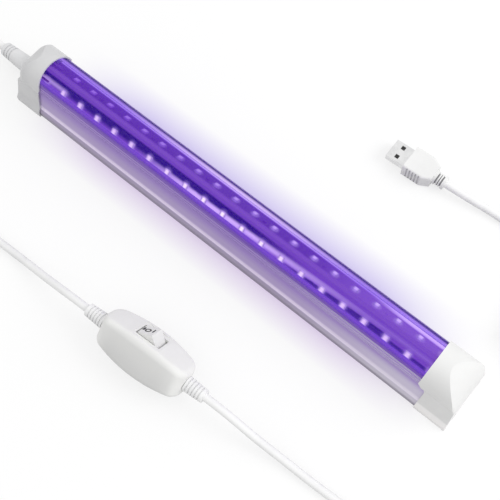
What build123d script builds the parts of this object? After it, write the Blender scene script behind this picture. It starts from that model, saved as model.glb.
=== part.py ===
from build123d import *
import math
import os

# Lamp body: overall length and cross-section
LAMP_LENGTH = 310.0  # over both end caps
TUBE_RADIUS = 12.7  # outside of the round part, a one inch tube
AXIS_HEIGHT = 24.3  # centre of the round part above the base
FOOT_WIDTH = 34.8
FOOT_HEIGHT = 3.4
SHOULDER_WIDTH = 30.6
SHOULDER_HEIGHT = 6.5
WAIST_WIDTH = 22.8
WAIST_DROP = 5.1  # waist below the tube's axis
WAIST_GROOVE = 0.6  # radius of the groove along the waist

# Aluminium channel
CHANNEL_WALL = 1.6
CHANNEL_FLOOR = 1.6
RIDGE_SLOPE = 38.0  # degrees below level
RIDGE_PLATE = 1.5
FINE_GROOVES = 4  # on each side, just under the cover
FINE_GROOVE_RADIUS = 0.35
FINE_GROOVE_PITCH = 9.5  # degrees about the tube's axis
BOSS_RADIUS = 2.6
BOSS_BORE = 1.25
BOSS_SPREAD = 21.0  # between the two screw channels

# Clear cover
COVER_WALL = 1.2
COVER_EDGE = 57.0  # degrees from the top to the cover's edge
COVER_LIP = 1.0
COVER_LIP_SPAN = 9.0  # degrees that the lip runs under the channel's edge
COVER_BEAD_SPAN = 5.0  # degrees of thicker edge
SLIDE_GAP = 0.1

# LED strips
BOARD_WIDTH = 7.0
BOARD_THICKNESS = 1.0
BOARD_OFFSET = 5.8  # ridge top to the board's middle, down the slope
BOARD_SETBACK = 3.0  # board's end from the channel's end
LED_COUNT = 19
LED_END_GAP = 19.2  # first LED's middle from the channel's end
LED_SIZE = (3.5, 2.8, 0.8)
RESISTOR_SIZE = (2.0, 1.2, 0.5)
RESISTOR_COUNT = 6  # on each board

# End caps
CAP_LENGTH = 24.0
CAP_WALL = 0.9
CAP_FIT = 0.15
CAP_ROOF = 8.0  # level roof before the nose
CAP_NOSE_RADIUS = 22.4  # of the nose in side view
PLAIN_CAP_RIM = 2.0  # rounding of the nose into the plain cap's sides
CORD_CAP_RIM = 9.0
CAP_KNEE_HEIGHT = 18.0  # where the nose turns into the end face
CAP_DRAFT = 2.0
CAP_STEP = 5.0  # lower edge set back from the round part's edge
CAP_STEP_HEIGHT = 17.0
CAP_STEP_RISE = 10.0  # height over which the edge moves back
CAP_STEP_ROUND = 4.0
CAP_END_WALL = 4.0
CAP_ROOM_WIDTH = 15.0
CAP_STOP = 1.0  # cover's end from the end of the roof

# End cap screws
SCREW_RADIUS = 1.2
SCREW_BITE = 8.0
SCREW_HEAD_RADIUS = 2.3
SCREW_HEAD = 1.6
SCREW_GAP = 0.05
SCREW_SINK = 2.4  # head's seat from the end of the cap

# Lead
CORD_DIAMETER = 4.4
CORD_LEAD = 12.0  # straight run out of a switch or plug
WIRE_RADIUS = 0.6
WIRE_SPREAD = 2.4  # between the two cores where they leave the boot
WIRE_LAP = 4.0  # of a core's end on a board

# Strain relief on the lamp
BOOT_HEIGHT = 8.5
BOOT_LENGTH = 27.7
BOOT_COLLAR_RADIUS = 6.3
BOOT_COLLAR = 7.0
BOOT_ROOT_RADIUS = 5.5
BOOT_TIP_RADIUS = 4.3
BOOT_NECK_RADIUS = 4.2
BOOT_SEAT = 2.0  # collar's seat from the end of the cap
BOOT_FLANGE = 1.8
BOOT_RIBS = 3
BOOT_RIB_RUN = 9.0  # ribbed length at the tip
RIB_DEPTH = 0.7
FIT_GAP = 0.1

# In-line switch
SWITCH_LENGTH = 54.2
SWITCH_WIDTH = 21.4
SWITCH_END_WIDTH = 15.5
SWITCH_HEIGHT = 22.6
SWITCH_CROWN = 3.0  # top's middle above its ends
SWITCH_WALL = 1.8
SWITCH_ROUND = 3.5
SWITCH_CORNER = 7.0  # corner radius in plan
SWITCH_PLACE = (14.7, -85.1)
SWITCH_YAW = 3.2
SWITCH_TIP = 45.0  # degrees that the switch lies over on its rounded edge
SWITCH_BOOT_LENGTH = 11.4
SWITCH_BOOT_ROOT = 4.3
SWITCH_BOOT_TIP = 3.7
SWITCH_BOOT_NECK = 3.4
SWITCH_BOOT_RIBS = 5
SWITCH_SCREW_PLACES = ((-16.0, 4.5), (16.0, -4.5))
SWITCH_PILLAR_RADIUS = 2.5
SWITCH_SCREW_RADIUS = 1.1
SWITCH_SCREW_BITE = 5.0
POST_SIZE = (4.0, 5.0)
LEAF_THICKNESS = 0.5
LEAF_WIDTH = 4.0
CONTACT_GAP = 0.5  # leaf below the rocker's lowest edge

# Rocker
ROCKER_LENGTH = 14.0
ROCKER_WIDTH = 8.8
ROCKER_RIDGE = 5.9  # ridge above the pivot
ROCKER_SLOPE = 35.0  # degrees that each facet falls from the ridge
ROCKER_DROP = 2.0
ROCKER_THROW = 12.0  # degrees each way from level
ROCKER_GAP = 0.35
PIVOT_DROP = 2.4  # pivot below the switch's top face
PIVOT_RADIUS = 1.0
PIVOT_LENGTH = 1.8
PIVOT_GAP = 0.06
EAR_THICKNESS = 2.2
RECESS_MARGIN = (2.2, 4.4)
RECESS_DEPTH = 0.5

# Plug
PLUG_SHELL_LENGTH = 12.0  # in front of the grip
PLUG_SHELL_WIDTH = 12.0
PLUG_SHELL_HEIGHT = 4.5
PLUG_SHELL_WALL = 0.3
PLUG_SHELL_TAIL = 6.0  # inside the grip
PLUG_WINDOW = 2.4
PLUG_WINDOW_SPREAD = 6.4
PLUG_WINDOW_BACK = 5.6  # windows' middle from the shell's mouth
PLUG_GRIP_LENGTH = 17.0
PLUG_GRIP_WIDTH = 15.6
PLUG_GRIP_HEIGHT = 10.4
PLUG_GRIP_ROUND = 1.4
PLUG_REAR_CHAMFER = 2.6
PLUG_REAR_RUN = 5.0  # length of the narrowing rear
PLUG_RIBS = 5
PLUG_RIB_PITCH = 1.9
PLUG_RIB_RADIUS = 0.45
PLUG_RIB_START = 3.0
PLUG_NECK_LENGTH = 7.2
PLUG_NECK_RADIUS = 4.0  # of the flange and the end ring
PLUG_NECK_FLANGE = 1.6
PLUG_NECK_CORE = 2.9
PLUG_RING_RADIUS = 3.6
PLUG_RING_WIDTH = 0.8
PLUG_RINGS = 2
PLUG_TONGUE_WIDTH = 11.2
PLUG_TONGUE_HEIGHT = 1.9
PLUG_TONGUE_BACK = 1.0  # tongue's tip from the shell's mouth
PLUG_CONTACTS = 4
PLUG_CONTACT_PITCH = 2.3
PLUG_CONTACT_SIZE = (7.0, 1.0, 0.15)
PLUG_TIP_PLACE = (41.4, 91.4)
PLUG_YAW = 1.5

# Coil of the supply lead
COIL_CENTRE = (178.0, 60.0)
COIL_RADIUS = 24.2  # middle of the turns
TIE_ANGLE = 215.0
TIE_WIDTH = 6.0
TIE_THICKNESS = 0.9
TIE_GAP = 0.35

# Values that follow from the sizes above
HALF_LENGTH = LAMP_LENGTH / 2
CAP_INNER = HALF_LENGTH - CAP_LENGTH
CHANNEL_HALF = CAP_INNER + CAP_ROOF - CAP_STOP
TROUGH_RADIUS = TUBE_RADIUS - CHANNEL_WALL
RIDGE_HEIGHT = AXIS_HEIGHT + 0.4 * TUBE_RADIUS
LED_PITCH = 2 * (CHANNEL_HALF - LED_END_GAP) / (LED_COUNT - 1)
WAIST_HEIGHT = AXIS_HEIGHT - WAIST_DROP
ROOF_HEIGHT = AXIS_HEIGHT + TUBE_RADIUS + CAP_FIT + CAP_WALL
BOSS_HEIGHT = CHANNEL_FLOOR + BOSS_RADIUS - 0.5
CORD_RADIUS = CORD_DIAMETER / 2
SURFACE_GAP = 0.1
CORD_LEVEL = CORD_RADIUS + SURFACE_GAP
COIL_LIFT = TIE_THICKNESS + TIE_GAP + SURFACE_GAP
SWITCH_HALF_HEIGHT = SWITCH_HEIGHT / 2
PIVOT_LEVEL = SWITCH_HALF_HEIGHT - PIVOT_DROP
THROW = math.radians(ROCKER_THROW)
ROCKER_LOW = ROCKER_DROP * math.cos(THROW) + ROCKER_LENGTH / 2 * math.sin(THROW)
CONTACT_LEVEL = PIVOT_LEVEL - ROCKER_LOW - CONTACT_GAP - LEAF_THICKNESS
PLUG_LEVEL = PLUG_GRIP_HEIGHT / 2 + SURFACE_GAP
SLOPE = math.radians(RIDGE_SLOPE)


def tube_point(radius, degrees):
    """Point on a circle about the tube's axis, measured from the top towards +Y."""
    turn = math.radians(degrees)
    return (radius * math.sin(turn), AXIS_HEIGHT + radius * math.cos(turn))


def tube_band(inner, outer, start, end):
    """Sector of a ring about the tube's axis."""
    middle = (start + end) / 2
    outside = ThreePointArc(tube_point(outer, start), tube_point(outer, middle), tube_point(outer, end))
    inside = ThreePointArc(tube_point(inner, end), tube_point(inner, middle), tube_point(inner, start))
    ends = [Line(outside @ 1, inside @ 0), Line(inside @ 1, outside @ 0)]
    return make_face([outside.edge(), inside.edge()] + [line.edge() for line in ends])


def mirrored_face(points):
    """Closed face from the points of its +Y half."""
    other = [(-across, up) for across, up in reversed(points) if across > 0]
    return make_face(Polyline(*points, *other, close=True).edges())


def along_x(face, start, end):
    """Extrude a YZ section from one X to another."""
    return extrude(Plane.YZ.offset(start) * face, amount=end - start)


def across_y(face, width):
    """Extrude an XZ profile to both sides of the middle plane."""
    return extrude(Plane.XZ * face, amount=width / 2, both=True)


def round_along_x(radius, start, end):
    """Cylinder about the X axis."""
    return Pos((start + end) / 2, 0, 0) * Rot(0, 90, 0) * Cylinder(radius, abs(end - start))


def lamp_outline(grow=0.0):
    """Outside of the lamp's section, or a larger copy of it, above the base plane."""
    skirt = mirrored_face(
        [
            (FOOT_WIDTH / 2, 0),
            (FOOT_WIDTH / 2, FOOT_HEIGHT),
            (SHOULDER_WIDTH / 2, SHOULDER_HEIGHT),
            (WAIST_WIDTH / 2, WAIST_HEIGHT),
        ]
    )
    if grow:
        skirt = offset(skirt, amount=grow, kind=Kind.INTERSECTION)
    outline = skirt + Pos(0, AXIS_HEIGHT) * Circle(TUBE_RADIUS + grow)
    above = Pos(0, ROOF_HEIGHT) * Rectangle(4 * FOOT_WIDTH, 2 * ROOF_HEIGHT)
    return outline & above


def channel_section():
    """Extruded section: feet, round trough with a V ridge, wiring space and screw channels."""
    seam = COVER_EDGE + math.degrees(SLIDE_GAP / TUBE_RADIUS)
    reach = 2 * FOOT_WIDTH
    fall = reach * math.tan(SLOPE)
    above_ridge = mirrored_face([(0, RIDGE_HEIGHT), (reach, RIDGE_HEIGHT - fall), (reach, reach)])
    trough = Pos(0, AXIS_HEIGHT) * Circle(TROUGH_RADIUS) & above_ridge
    mouth = tube_band(TROUGH_RADIUS - CHANNEL_WALL / 4, TUBE_RADIUS + CHANNEL_WALL, -seam, seam)
    side = WAIST_WIDTH / 2 - CHANNEL_WALL
    under_ridge = RIDGE_HEIGHT - RIDGE_PLATE / math.cos(SLOPE)
    space = mirrored_face(
        [
            (0, under_ridge),
            (side, under_ridge - side * math.tan(SLOPE)),
            (SHOULDER_WIDTH / 2 - CHANNEL_WALL, SHOULDER_HEIGHT),
            (SHOULDER_WIDTH / 2 - CHANNEL_WALL, CHANNEL_FLOOR),
        ]
    )
    section = lamp_outline() - trough - mouth - space
    for way in (-1, 1):
        section += Pos(way * BOSS_SPREAD / 2, BOSS_HEIGHT) * Circle(BOSS_RADIUS)
    for way in (-1, 1):
        section -= Pos(way * BOSS_SPREAD / 2, BOSS_HEIGHT) * Circle(BOSS_BORE)
        section -= Pos(way * WAIST_WIDTH / 2, WAIST_HEIGHT) * Circle(WAIST_GROOVE)
        for index in range(FINE_GROOVES):
            turn = way * (COVER_EDGE + (index + 1) * FINE_GROOVE_PITCH)
            section -= Pos(*tube_point(TUBE_RADIUS, turn)) * Circle(FINE_GROOVE_RADIUS)
    return section


def aluminium_channel():
    return along_x(channel_section(), -CHANNEL_HALF, CHANNEL_HALF)


def clear_cover():
    """Arched cover with a lip on each edge that slides inside the channel's wall."""
    lip_outer = TROUGH_RADIUS - SLIDE_GAP
    lip_inner = lip_outer - COVER_LIP
    section = tube_band(TUBE_RADIUS - COVER_WALL, TUBE_RADIUS, -COVER_EDGE, COVER_EDGE)
    for way in (-1, 1):
        bead_start = way * (COVER_EDGE - COVER_BEAD_SPAN)
        lip_end = way * (COVER_EDGE + COVER_LIP_SPAN)
        section += tube_band(lip_inner, TUBE_RADIUS - COVER_WALL / 2, bead_start, way * COVER_EDGE)
        section += tube_band(lip_inner, lip_outer, bead_start, lip_end)
    return along_x(section, -CHANNEL_HALF, CHANNEL_HALF)


def ridge_plane(way):
    """Seat plane on one slope of the V ridge: X along the lamp, Z out of the seat."""
    normal = (0, way * math.sin(SLOPE), math.cos(SLOPE))
    return Plane(origin=(0, 0, RIDGE_HEIGHT), x_dir=(1, 0, 0), z_dir=normal)


def led_board(way):
    length = 2 * (CHANNEL_HALF - BOARD_SETBACK)
    board = Box(length, BOARD_WIDTH, BOARD_THICKNESS)
    return ridge_plane(way) * Pos(0, way * BOARD_OFFSET, BOARD_THICKNESS / 2) * board


def on_board(way, along, size, aside=0.0):
    """Small block standing on a board."""
    place = Pos(along, way * (BOARD_OFFSET + aside), BOARD_THICKNESS + size[2] / 2)
    return ridge_plane(way) * place * Box(*size)


def led_places():
    return [(index - (LED_COUNT - 1) / 2) * LED_PITCH for index in range(LED_COUNT)]


def led_chips(way):
    return Compound([on_board(way, along, LED_SIZE).solid() for along in led_places()])


def led_resistors():
    blocks = []
    every = LED_COUNT // RESISTOR_COUNT
    for way in (-1, 1):
        for along in led_places()[1::every]:
            blocks.append(on_board(way, along + LED_PITCH / 2, RESISTOR_SIZE).solid())
    return Compound(blocks)


def nose_centre():
    """Centre of the arc through the roof's end and the knee, in the cap's side view."""
    roof = Vector(CAP_INNER + CAP_ROOF, ROOF_HEIGHT)
    knee = Vector(HALF_LENGTH - CAP_DRAFT, CAP_KNEE_HEIGHT)
    chord = knee - roof
    inward = Vector(chord.Y, -chord.X).normalized()
    depth = math.sqrt(CAP_NOSE_RADIUS**2 - (chord.length / 2) ** 2)
    return (roof + knee) / 2 + inward * depth


def cap_block(rim):
    """Solid end cap: drafted end face below, round nose with soft rims above."""
    centre = nose_centre()
    drum = Cylinder(CAP_NOSE_RADIUS, 2 * (TUBE_RADIUS + 2 * CAP_WALL))
    drum = fillet(drum.edges().filter_by(GeomType.CIRCLE), rim)
    nose = Pos(centre.X, 0, centre.Y) * Rot(90, 0, 0) * drum
    corners = [
        (CAP_INNER, 0),
        (HALF_LENGTH, 0),
        (HALF_LENGTH - CAP_DRAFT, CAP_KNEE_HEIGHT),
        (CAP_INNER, CAP_KNEE_HEIGHT),
    ]
    end = across_y(make_face(Polyline(*corners, close=True).edges()), 2 * FOOT_WIDTH)
    return along_x(lamp_outline(CAP_FIT + CAP_WALL), CAP_INNER, HALF_LENGTH) & (nose + end)


def cap_room():
    """Wiring space behind the channel's end."""
    start = CHANNEL_HALF - 0.5
    end = HALF_LENGTH - CAP_END_WALL
    floor = BOOT_HEIGHT - BOOT_COLLAR_RADIUS - FIT_GAP
    corners = [
        (start, floor),
        (end, floor),
        (end, BOOT_HEIGHT + BOOT_COLLAR_RADIUS + FIT_GAP),
        (start, ROOF_HEIGHT - CAP_END_WALL),
    ]
    return across_y(make_face(Polyline(*corners, close=True).edges()), CAP_ROOM_WIDTH)


def cap_set_back():
    """What is taken off the cap's lower inner edge, in a soft double bend."""
    outside = CAP_INNER - 2 * CAP_STEP
    corners = [
        (outside, -1),
        (CAP_INNER + CAP_STEP, -1),
        (CAP_INNER + CAP_STEP, CAP_STEP_HEIGHT),
        (CAP_INNER, CAP_STEP_HEIGHT + CAP_STEP_RISE),
        (outside, CAP_STEP_HEIGHT + CAP_STEP_RISE),
    ]
    face = make_face(Polyline(*corners, close=True).edges())
    bends = [vertex for vertex in face.vertices() if vertex.X > outside + 1 and vertex.Y > 0]
    return across_y(fillet(bends, CAP_STEP_ROUND), 2 * FOOT_WIDTH)


def screwed_cap(rim):
    """Moulded end cap that slides over the channel's end and is held by two screws."""
    cap = cap_block(rim)
    cap -= along_x(lamp_outline(CAP_FIT), CAP_INNER - 1, CHANNEL_HALF + CAP_FIT)
    cap -= cap_set_back()
    cap -= cap_room()
    for way in (-1, 1):
        place = Pos(0, way * BOSS_SPREAD / 2, BOSS_HEIGHT)
        cap -= place * round_along_x(SCREW_RADIUS + SCREW_GAP, CAP_INNER, HALF_LENGTH + 1)
        seat = HALF_LENGTH - SCREW_SINK
        cap -= place * round_along_x(SCREW_HEAD_RADIUS + 2 * SCREW_GAP, seat, HALF_LENGTH + 1)
    return cap


def cord_cap():
    """Cap at the other end, softer round its nose, with a seat and a hole for the strain relief."""
    cap = mirror(screwed_cap(CORD_CAP_RIM), about=Plane.YZ)
    place = Pos(0, 0, BOOT_HEIGHT)
    outside = -HALF_LENGTH - 1
    room = -HALF_LENGTH + CAP_END_WALL + 1
    cap -= place * round_along_x(BOOT_NECK_RADIUS + FIT_GAP, outside, room)
    cap -= place * round_along_x(BOOT_COLLAR_RADIUS + FIT_GAP, outside, -HALF_LENGTH + BOOT_SEAT)
    return cap


def cap_screws():
    """Pan head screws, two in each cap."""
    seat = HALF_LENGTH - SCREW_SINK
    shank = round_along_x(SCREW_RADIUS, CHANNEL_HALF - SCREW_BITE, seat)
    head = round_along_x(SCREW_HEAD_RADIUS, seat, seat + SCREW_HEAD)
    slot = Pos(seat + SCREW_HEAD, 0, 0) * Box(SCREW_HEAD, 2 * SCREW_HEAD_RADIUS, SCREW_RADIUS / 2)
    screw = shank + head - slot
    screws = []
    for side in (-1, 1):
        turned = screw if side > 0 else Rot(0, 0, 180) * screw
        for way in (-1, 1):
            screws.append((Pos(0, way * BOSS_SPREAD / 2, BOSS_HEIGHT) * turned).solid())
    return Compound(screws)


def ribbed_sleeve(length, root, tip, ribs, smooth=0.0):
    """Tapered strain relief along +X: a smooth start, then rings cut between its ribs."""
    pitch = (length - smooth) / (ribs + 1)
    points = [(0, 0), (0, root)]
    for index in range(ribs):
        start = smooth + (index + 0.6) * pitch
        end = smooth + (index + 1.0) * pitch
        for place, depth in ((start, 0), (start, RIB_DEPTH), (end, RIB_DEPTH), (end, 0)):
            points.append((place, root + (tip - root) * place / length - depth))
    points += [(length, tip), (length, 0)]
    face = make_face(Polyline(*points, close=True).edges())
    return revolve(Plane.XZ * face, axis=Axis.X)


def boot_tip():
    """Where the lead leaves the lamp's strain relief."""
    return (-HALF_LENGTH + BOOT_SEAT - BOOT_LENGTH, 0, BOOT_HEIGHT)


def boot_back():
    """X of the strain relief's inner end."""
    return -HALF_LENGTH + CAP_END_WALL + FIT_GAP + BOOT_FLANGE


def cord_boot():
    """Strain relief moulded on the lead, trapped in the cap's end wall."""
    wall = CAP_END_WALL - BOOT_SEAT + FIT_GAP
    sleeve_length = BOOT_LENGTH - BOOT_COLLAR
    smooth = sleeve_length - BOOT_RIB_RUN
    sleeve = ribbed_sleeve(sleeve_length, BOOT_ROOT_RADIUS, BOOT_TIP_RADIUS, BOOT_RIBS, smooth)
    boot = Pos(BOOT_COLLAR, 0, 0) * sleeve
    boot += round_along_x(BOOT_COLLAR_RADIUS, 0, BOOT_COLLAR)
    boot += round_along_x(BOOT_NECK_RADIUS, -wall, 0)
    boot += round_along_x(BOOT_COLLAR_RADIUS, -wall - BOOT_FLANGE, -wall)
    return Pos(-HALF_LENGTH + BOOT_SEAT, 0, BOOT_HEIGHT) * Rot(0, 0, 180) * boot


def wire(points, bend):
    """Round core along straight runs with rounded corners."""
    path = FilletPolyline(*points, radius=bend)
    start = Plane(origin=path @ 0, z_dir=path % 0)
    return sweep(start * Circle(WIRE_RADIUS), path=path)


def wire_on_board(way, along, aside=0.0):
    """Centre of a core that lies on a board."""
    place = Pos(along, way * (BOARD_OFFSET + aside), BOARD_THICKNESS + WIRE_RADIUS)
    return (ridge_plane(way) * place * Vertex(0, 0, 0)).center()


def lead_wire(way):
    """Core from the strain relief up to the end of one board."""
    end = wire_on_board(way, -CHANNEL_HALF + BOARD_SETBACK + WIRE_LAP)
    middle = way * WIRE_SPREAD / 2
    turn_x = -CHANNEL_HALF - 2.6
    points = [
        (boot_back(), middle, BOOT_HEIGHT),
        (turn_x, middle, BOOT_HEIGHT),
        (turn_x, end.Y, end.Z),
        (end.X, end.Y, end.Z),
    ]
    return wire(points, 1.6)


def jumper_wires():
    """Two links from board to board, round the ridge's end inside the plain cap."""
    links = []
    end = CHANNEL_HALF - BOARD_SETBACK - WIRE_LAP
    for aside, reach in ((-1.4, 1.8), (1.4, 3.6)):
        front = wire_on_board(-1, end, aside)
        rear = wire_on_board(1, end, aside)
        turn_x = CHANNEL_HALF + reach
        points = [
            (front.X, front.Y, front.Z),
            (turn_x, front.Y, front.Z),
            (turn_x, rear.Y, rear.Z),
            (rear.X, rear.Y, rear.Z),
        ]
        links.append(wire(points, 1.5).solid())
    return Compound(links)


def switch_plan(shrink=0.0):
    """Barrel-shaped plan of the switch at its parting plane."""
    half = SWITCH_LENGTH / 2 - shrink
    end = SWITCH_END_WIDTH / 2 - shrink
    middle = SWITCH_WIDTH / 2 - shrink
    far = ThreePointArc((half, end), (0, middle), (-half, end))
    near = ThreePointArc((-half, -end), (0, -middle), (half, -end))
    ends = [Line(far @ 1, near @ 0), Line(near @ 1, far @ 0)]
    plan = make_face([far.edge(), near.edge()] + [line.edge() for line in ends])
    return fillet(plan.vertices(), SWITCH_CORNER - shrink)


def switch_block(shrink=0.0):
    """Half body above the parting plane with a crowned top, or a smaller copy of it."""
    half = SWITCH_LENGTH / 2
    rise = SWITCH_HALF_HEIGHT - shrink
    low = rise - SWITCH_CROWN
    crown = ThreePointArc((-half, low), (0, rise), (half, low))
    sides = Polyline((half, low), (half, 0), (-half, 0), (-half, low))
    profile = make_face([crown.edge()] + list(sides.edges()))
    block = extrude(switch_plan(shrink), amount=rise)
    return block & across_y(profile, 2 * SWITCH_WIDTH)


def switch_shell_half():
    """Hollow half shell above the parting plane, with its two cord openings."""
    outside = switch_block()
    outside = fillet(outside.faces().sort_by(Axis.Z)[-1].edges(), SWITCH_ROUND)
    shell = outside - switch_block(SWITCH_WALL)
    for side in (-1, 1):
        near = side * (SWITCH_LENGTH / 2 - 3 * SWITCH_WALL)
        shell -= round_along_x(SWITCH_BOOT_NECK + FIT_GAP, near, side * (SWITCH_LENGTH / 2 + 1))
    return shell


def switch_pillar(place):
    """Screw pillar from the parting plane into the top wall."""
    pillar = Pos(*place, SWITCH_HALF_HEIGHT / 2) * Cylinder(SWITCH_PILLAR_RADIUS, SWITCH_HALF_HEIGHT)
    return pillar & switch_block(SWITCH_WALL / 2)


def rocker_place():
    return Pos(0, 0, PIVOT_LEVEL)


def switch_upper_shell():
    """Upper half with the rocker's opening, its bearing ears and the screw pillars."""
    shell = switch_shell_half()
    reach = math.hypot(ROCKER_LENGTH / 2, ROCKER_DROP)
    opening_length = 2 * reach + 2 * ROCKER_GAP
    opening_width = ROCKER_WIDTH + 2 * ROCKER_GAP
    recess = (opening_length + RECESS_MARGIN[0], opening_width + RECESS_MARGIN[1], 2 * RECESS_DEPTH)
    top = Pos(0, 0, SWITCH_HALF_HEIGHT)
    shell -= top * Box(*recess)
    shell -= top * Box(opening_length, opening_width, 4 * SWITCH_WALL)
    ear_bottom = PIVOT_LEVEL - 2.4 * PIVOT_RADIUS
    ear_height = SWITCH_HALF_HEIGHT - RECESS_DEPTH - ear_bottom
    ear_middle = ear_bottom + ear_height / 2
    for way in (-1, 1):
        ear_place = way * (opening_width + EAR_THICKNESS) / 2
        ear = Pos(0, ear_place, ear_middle) * Box(6 * PIVOT_RADIUS, EAR_THICKNESS, ear_height)
        shell += ear
    bearing = Cylinder(PIVOT_RADIUS + PIVOT_GAP, ROCKER_WIDTH + 2 * PIVOT_LENGTH + 2 * ROCKER_GAP)
    shell -= rocker_place() * Rot(90, 0, 0) * bearing
    for place in SWITCH_SCREW_PLACES:
        shell += switch_pillar(place)
        bore = Cylinder(SWITCH_SCREW_RADIUS + SCREW_GAP, SWITCH_SCREW_BITE + 1)
        shell -= Pos(*place, SWITCH_SCREW_BITE / 2) * bore
    return shell


def switch_lower_shell():
    """Lower half with screw sockets and the two posts that carry the contacts."""
    shell = mirror(switch_shell_half(), about=Plane.XY)
    floor = -SWITCH_HALF_HEIGHT
    for place in SWITCH_SCREW_PLACES:
        shell += mirror(switch_pillar(place), about=Plane.XY)
        shell -= Pos(*place, floor / 2) * Cylinder(SWITCH_SCREW_RADIUS + SCREW_GAP, 2 * SWITCH_HEIGHT)
        shell -= Pos(*place, floor) * Cylinder(SWITCH_SCREW_RADIUS * 2, SWITCH_HEIGHT / 2)
    post_height = CONTACT_LEVEL - floor - SWITCH_WALL / 2
    for along in post_places():
        shell += Pos(along, 0, CONTACT_LEVEL - post_height / 2) * Box(*POST_SIZE, post_height)
    return shell


def post_places():
    return (-ROCKER_LENGTH * 0.6, ROCKER_LENGTH * 0.6)


def switch_screws():
    floor = -SWITCH_HALF_HEIGHT + SWITCH_HEIGHT / 4
    screws = []
    for place in SWITCH_SCREW_PLACES:
        length = SWITCH_SCREW_BITE - floor
        shank = Pos(*place, floor + length / 2) * Cylinder(SWITCH_SCREW_RADIUS, length)
        head = Cylinder(1.8 * SWITCH_SCREW_RADIUS, SWITCH_SCREW_RADIUS)
        head = Pos(*place, floor - SWITCH_SCREW_RADIUS / 2) * head
        screws.append((shank + head).solid())
    return Compound(screws)


def contact_strip(start, end):
    """Flat strip along the switch, lying on the level of the posts."""
    strip = Box(end - start, LEAF_WIDTH, LEAF_THICKNESS)
    return Pos((start + end) / 2, 0, CONTACT_LEVEL + LEAF_THICKNESS / 2) * strip


def switch_contact_leaf():
    """Springy strip fixed on one post, with its free end under the rocker."""
    start = post_places()[0] - POST_SIZE[0] / 2
    end = ROCKER_LENGTH * 0.3
    return contact_strip(start, end)


def switch_contact_fixed():
    """Fixed strip on the other post, its end bent up beside the leaf's end."""
    start = ROCKER_LENGTH * 0.3 + 1.0
    end = post_places()[1] + POST_SIZE[0] / 2
    lug = Box(LEAF_THICKNESS, LEAF_WIDTH, LEAF_WIDTH / 2)
    lug = Pos(end - LEAF_THICKNESS / 2, 0, CONTACT_LEVEL + LEAF_WIDTH / 4) * lug
    return contact_strip(start, end) + lug


def switch_rocker():
    """Rocker with a ridge across its top and two pivot pins, tipped to one side."""
    half = ROCKER_LENGTH / 2
    end_rise = ROCKER_RIDGE - half * math.tan(math.radians(ROCKER_SLOPE))
    corners = [
        (-half, -ROCKER_DROP),
        (half, -ROCKER_DROP),
        (half, end_rise),
        (0, ROCKER_RIDGE),
        (-half, end_rise),
    ]
    body = across_y(make_face(Polyline(*corners, close=True).edges()), ROCKER_WIDTH)
    body += Rot(90, 0, 0) * Cylinder(PIVOT_RADIUS, ROCKER_WIDTH + 2 * PIVOT_LENGTH)
    return rocker_place() * Rot(0, ROCKER_THROW, 0) * body


def switch_boot(side):
    """Ribbed strain relief in one end of the switch."""
    wall = 2 * SWITCH_WALL
    boot = ribbed_sleeve(SWITCH_BOOT_LENGTH, SWITCH_BOOT_ROOT, SWITCH_BOOT_TIP, SWITCH_BOOT_RIBS)
    boot += round_along_x(SWITCH_BOOT_NECK, -wall, 0)
    boot = Pos(SWITCH_LENGTH / 2 + FIT_GAP, 0, 0) * boot
    return boot if side > 0 else Rot(0, 0, 180) * boot


def switch_frame():
    """Place of the switch: leaning back, its lowest edge on the surface."""
    shell = Rot(-SWITCH_TIP, 0, 0) * switch_lower_shell()
    height = -shell.bounding_box().min.Z
    return Pos(*SWITCH_PLACE, height) * Rot(0, 0, SWITCH_YAW) * Rot(-SWITCH_TIP, 0, 0)


def plug_frame():
    return Pos(*PLUG_TIP_PLACE, PLUG_LEVEL) * Rot(0, 0, PLUG_YAW)


def plug_shell():
    """Folded metal shell, open at the mouth, with two windows above and below."""
    length = PLUG_SHELL_LENGTH + PLUG_SHELL_TAIL
    shell = Pos(length / 2, 0, 0) * Box(length, PLUG_SHELL_WIDTH, PLUG_SHELL_HEIGHT)
    inner = (length, PLUG_SHELL_WIDTH - 2 * PLUG_SHELL_WALL, PLUG_SHELL_HEIGHT - 2 * PLUG_SHELL_WALL)
    shell -= Pos(length / 2, 0, 0) * Box(*inner)
    for way in (-1, 1):
        place = Pos(PLUG_WINDOW_BACK, way * PLUG_WINDOW_SPREAD / 2, 0)
        shell -= place * Box(PLUG_WINDOW, PLUG_WINDOW, 2 * PLUG_SHELL_HEIGHT)
    return shell


def plug_neck():
    """Strain relief behind the grip: a flange, thin rings on a core and an end ring."""
    inner = PLUG_NECK_LENGTH - PLUG_NECK_FLANGE
    neck = round_along_x(PLUG_NECK_CORE, 0, PLUG_NECK_LENGTH)
    neck += round_along_x(PLUG_NECK_RADIUS, 0, PLUG_NECK_FLANGE)
    neck += round_along_x(PLUG_NECK_RADIUS, inner, PLUG_NECK_LENGTH)
    pitch = (inner - PLUG_NECK_FLANGE) / (PLUG_RINGS + 1)
    for index in range(PLUG_RINGS):
        middle = PLUG_NECK_FLANGE + (index + 1) * pitch
        neck += round_along_x(PLUG_RING_RADIUS, middle - PLUG_RING_WIDTH / 2, middle + PLUG_RING_WIDTH / 2)
    return neck


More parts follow.
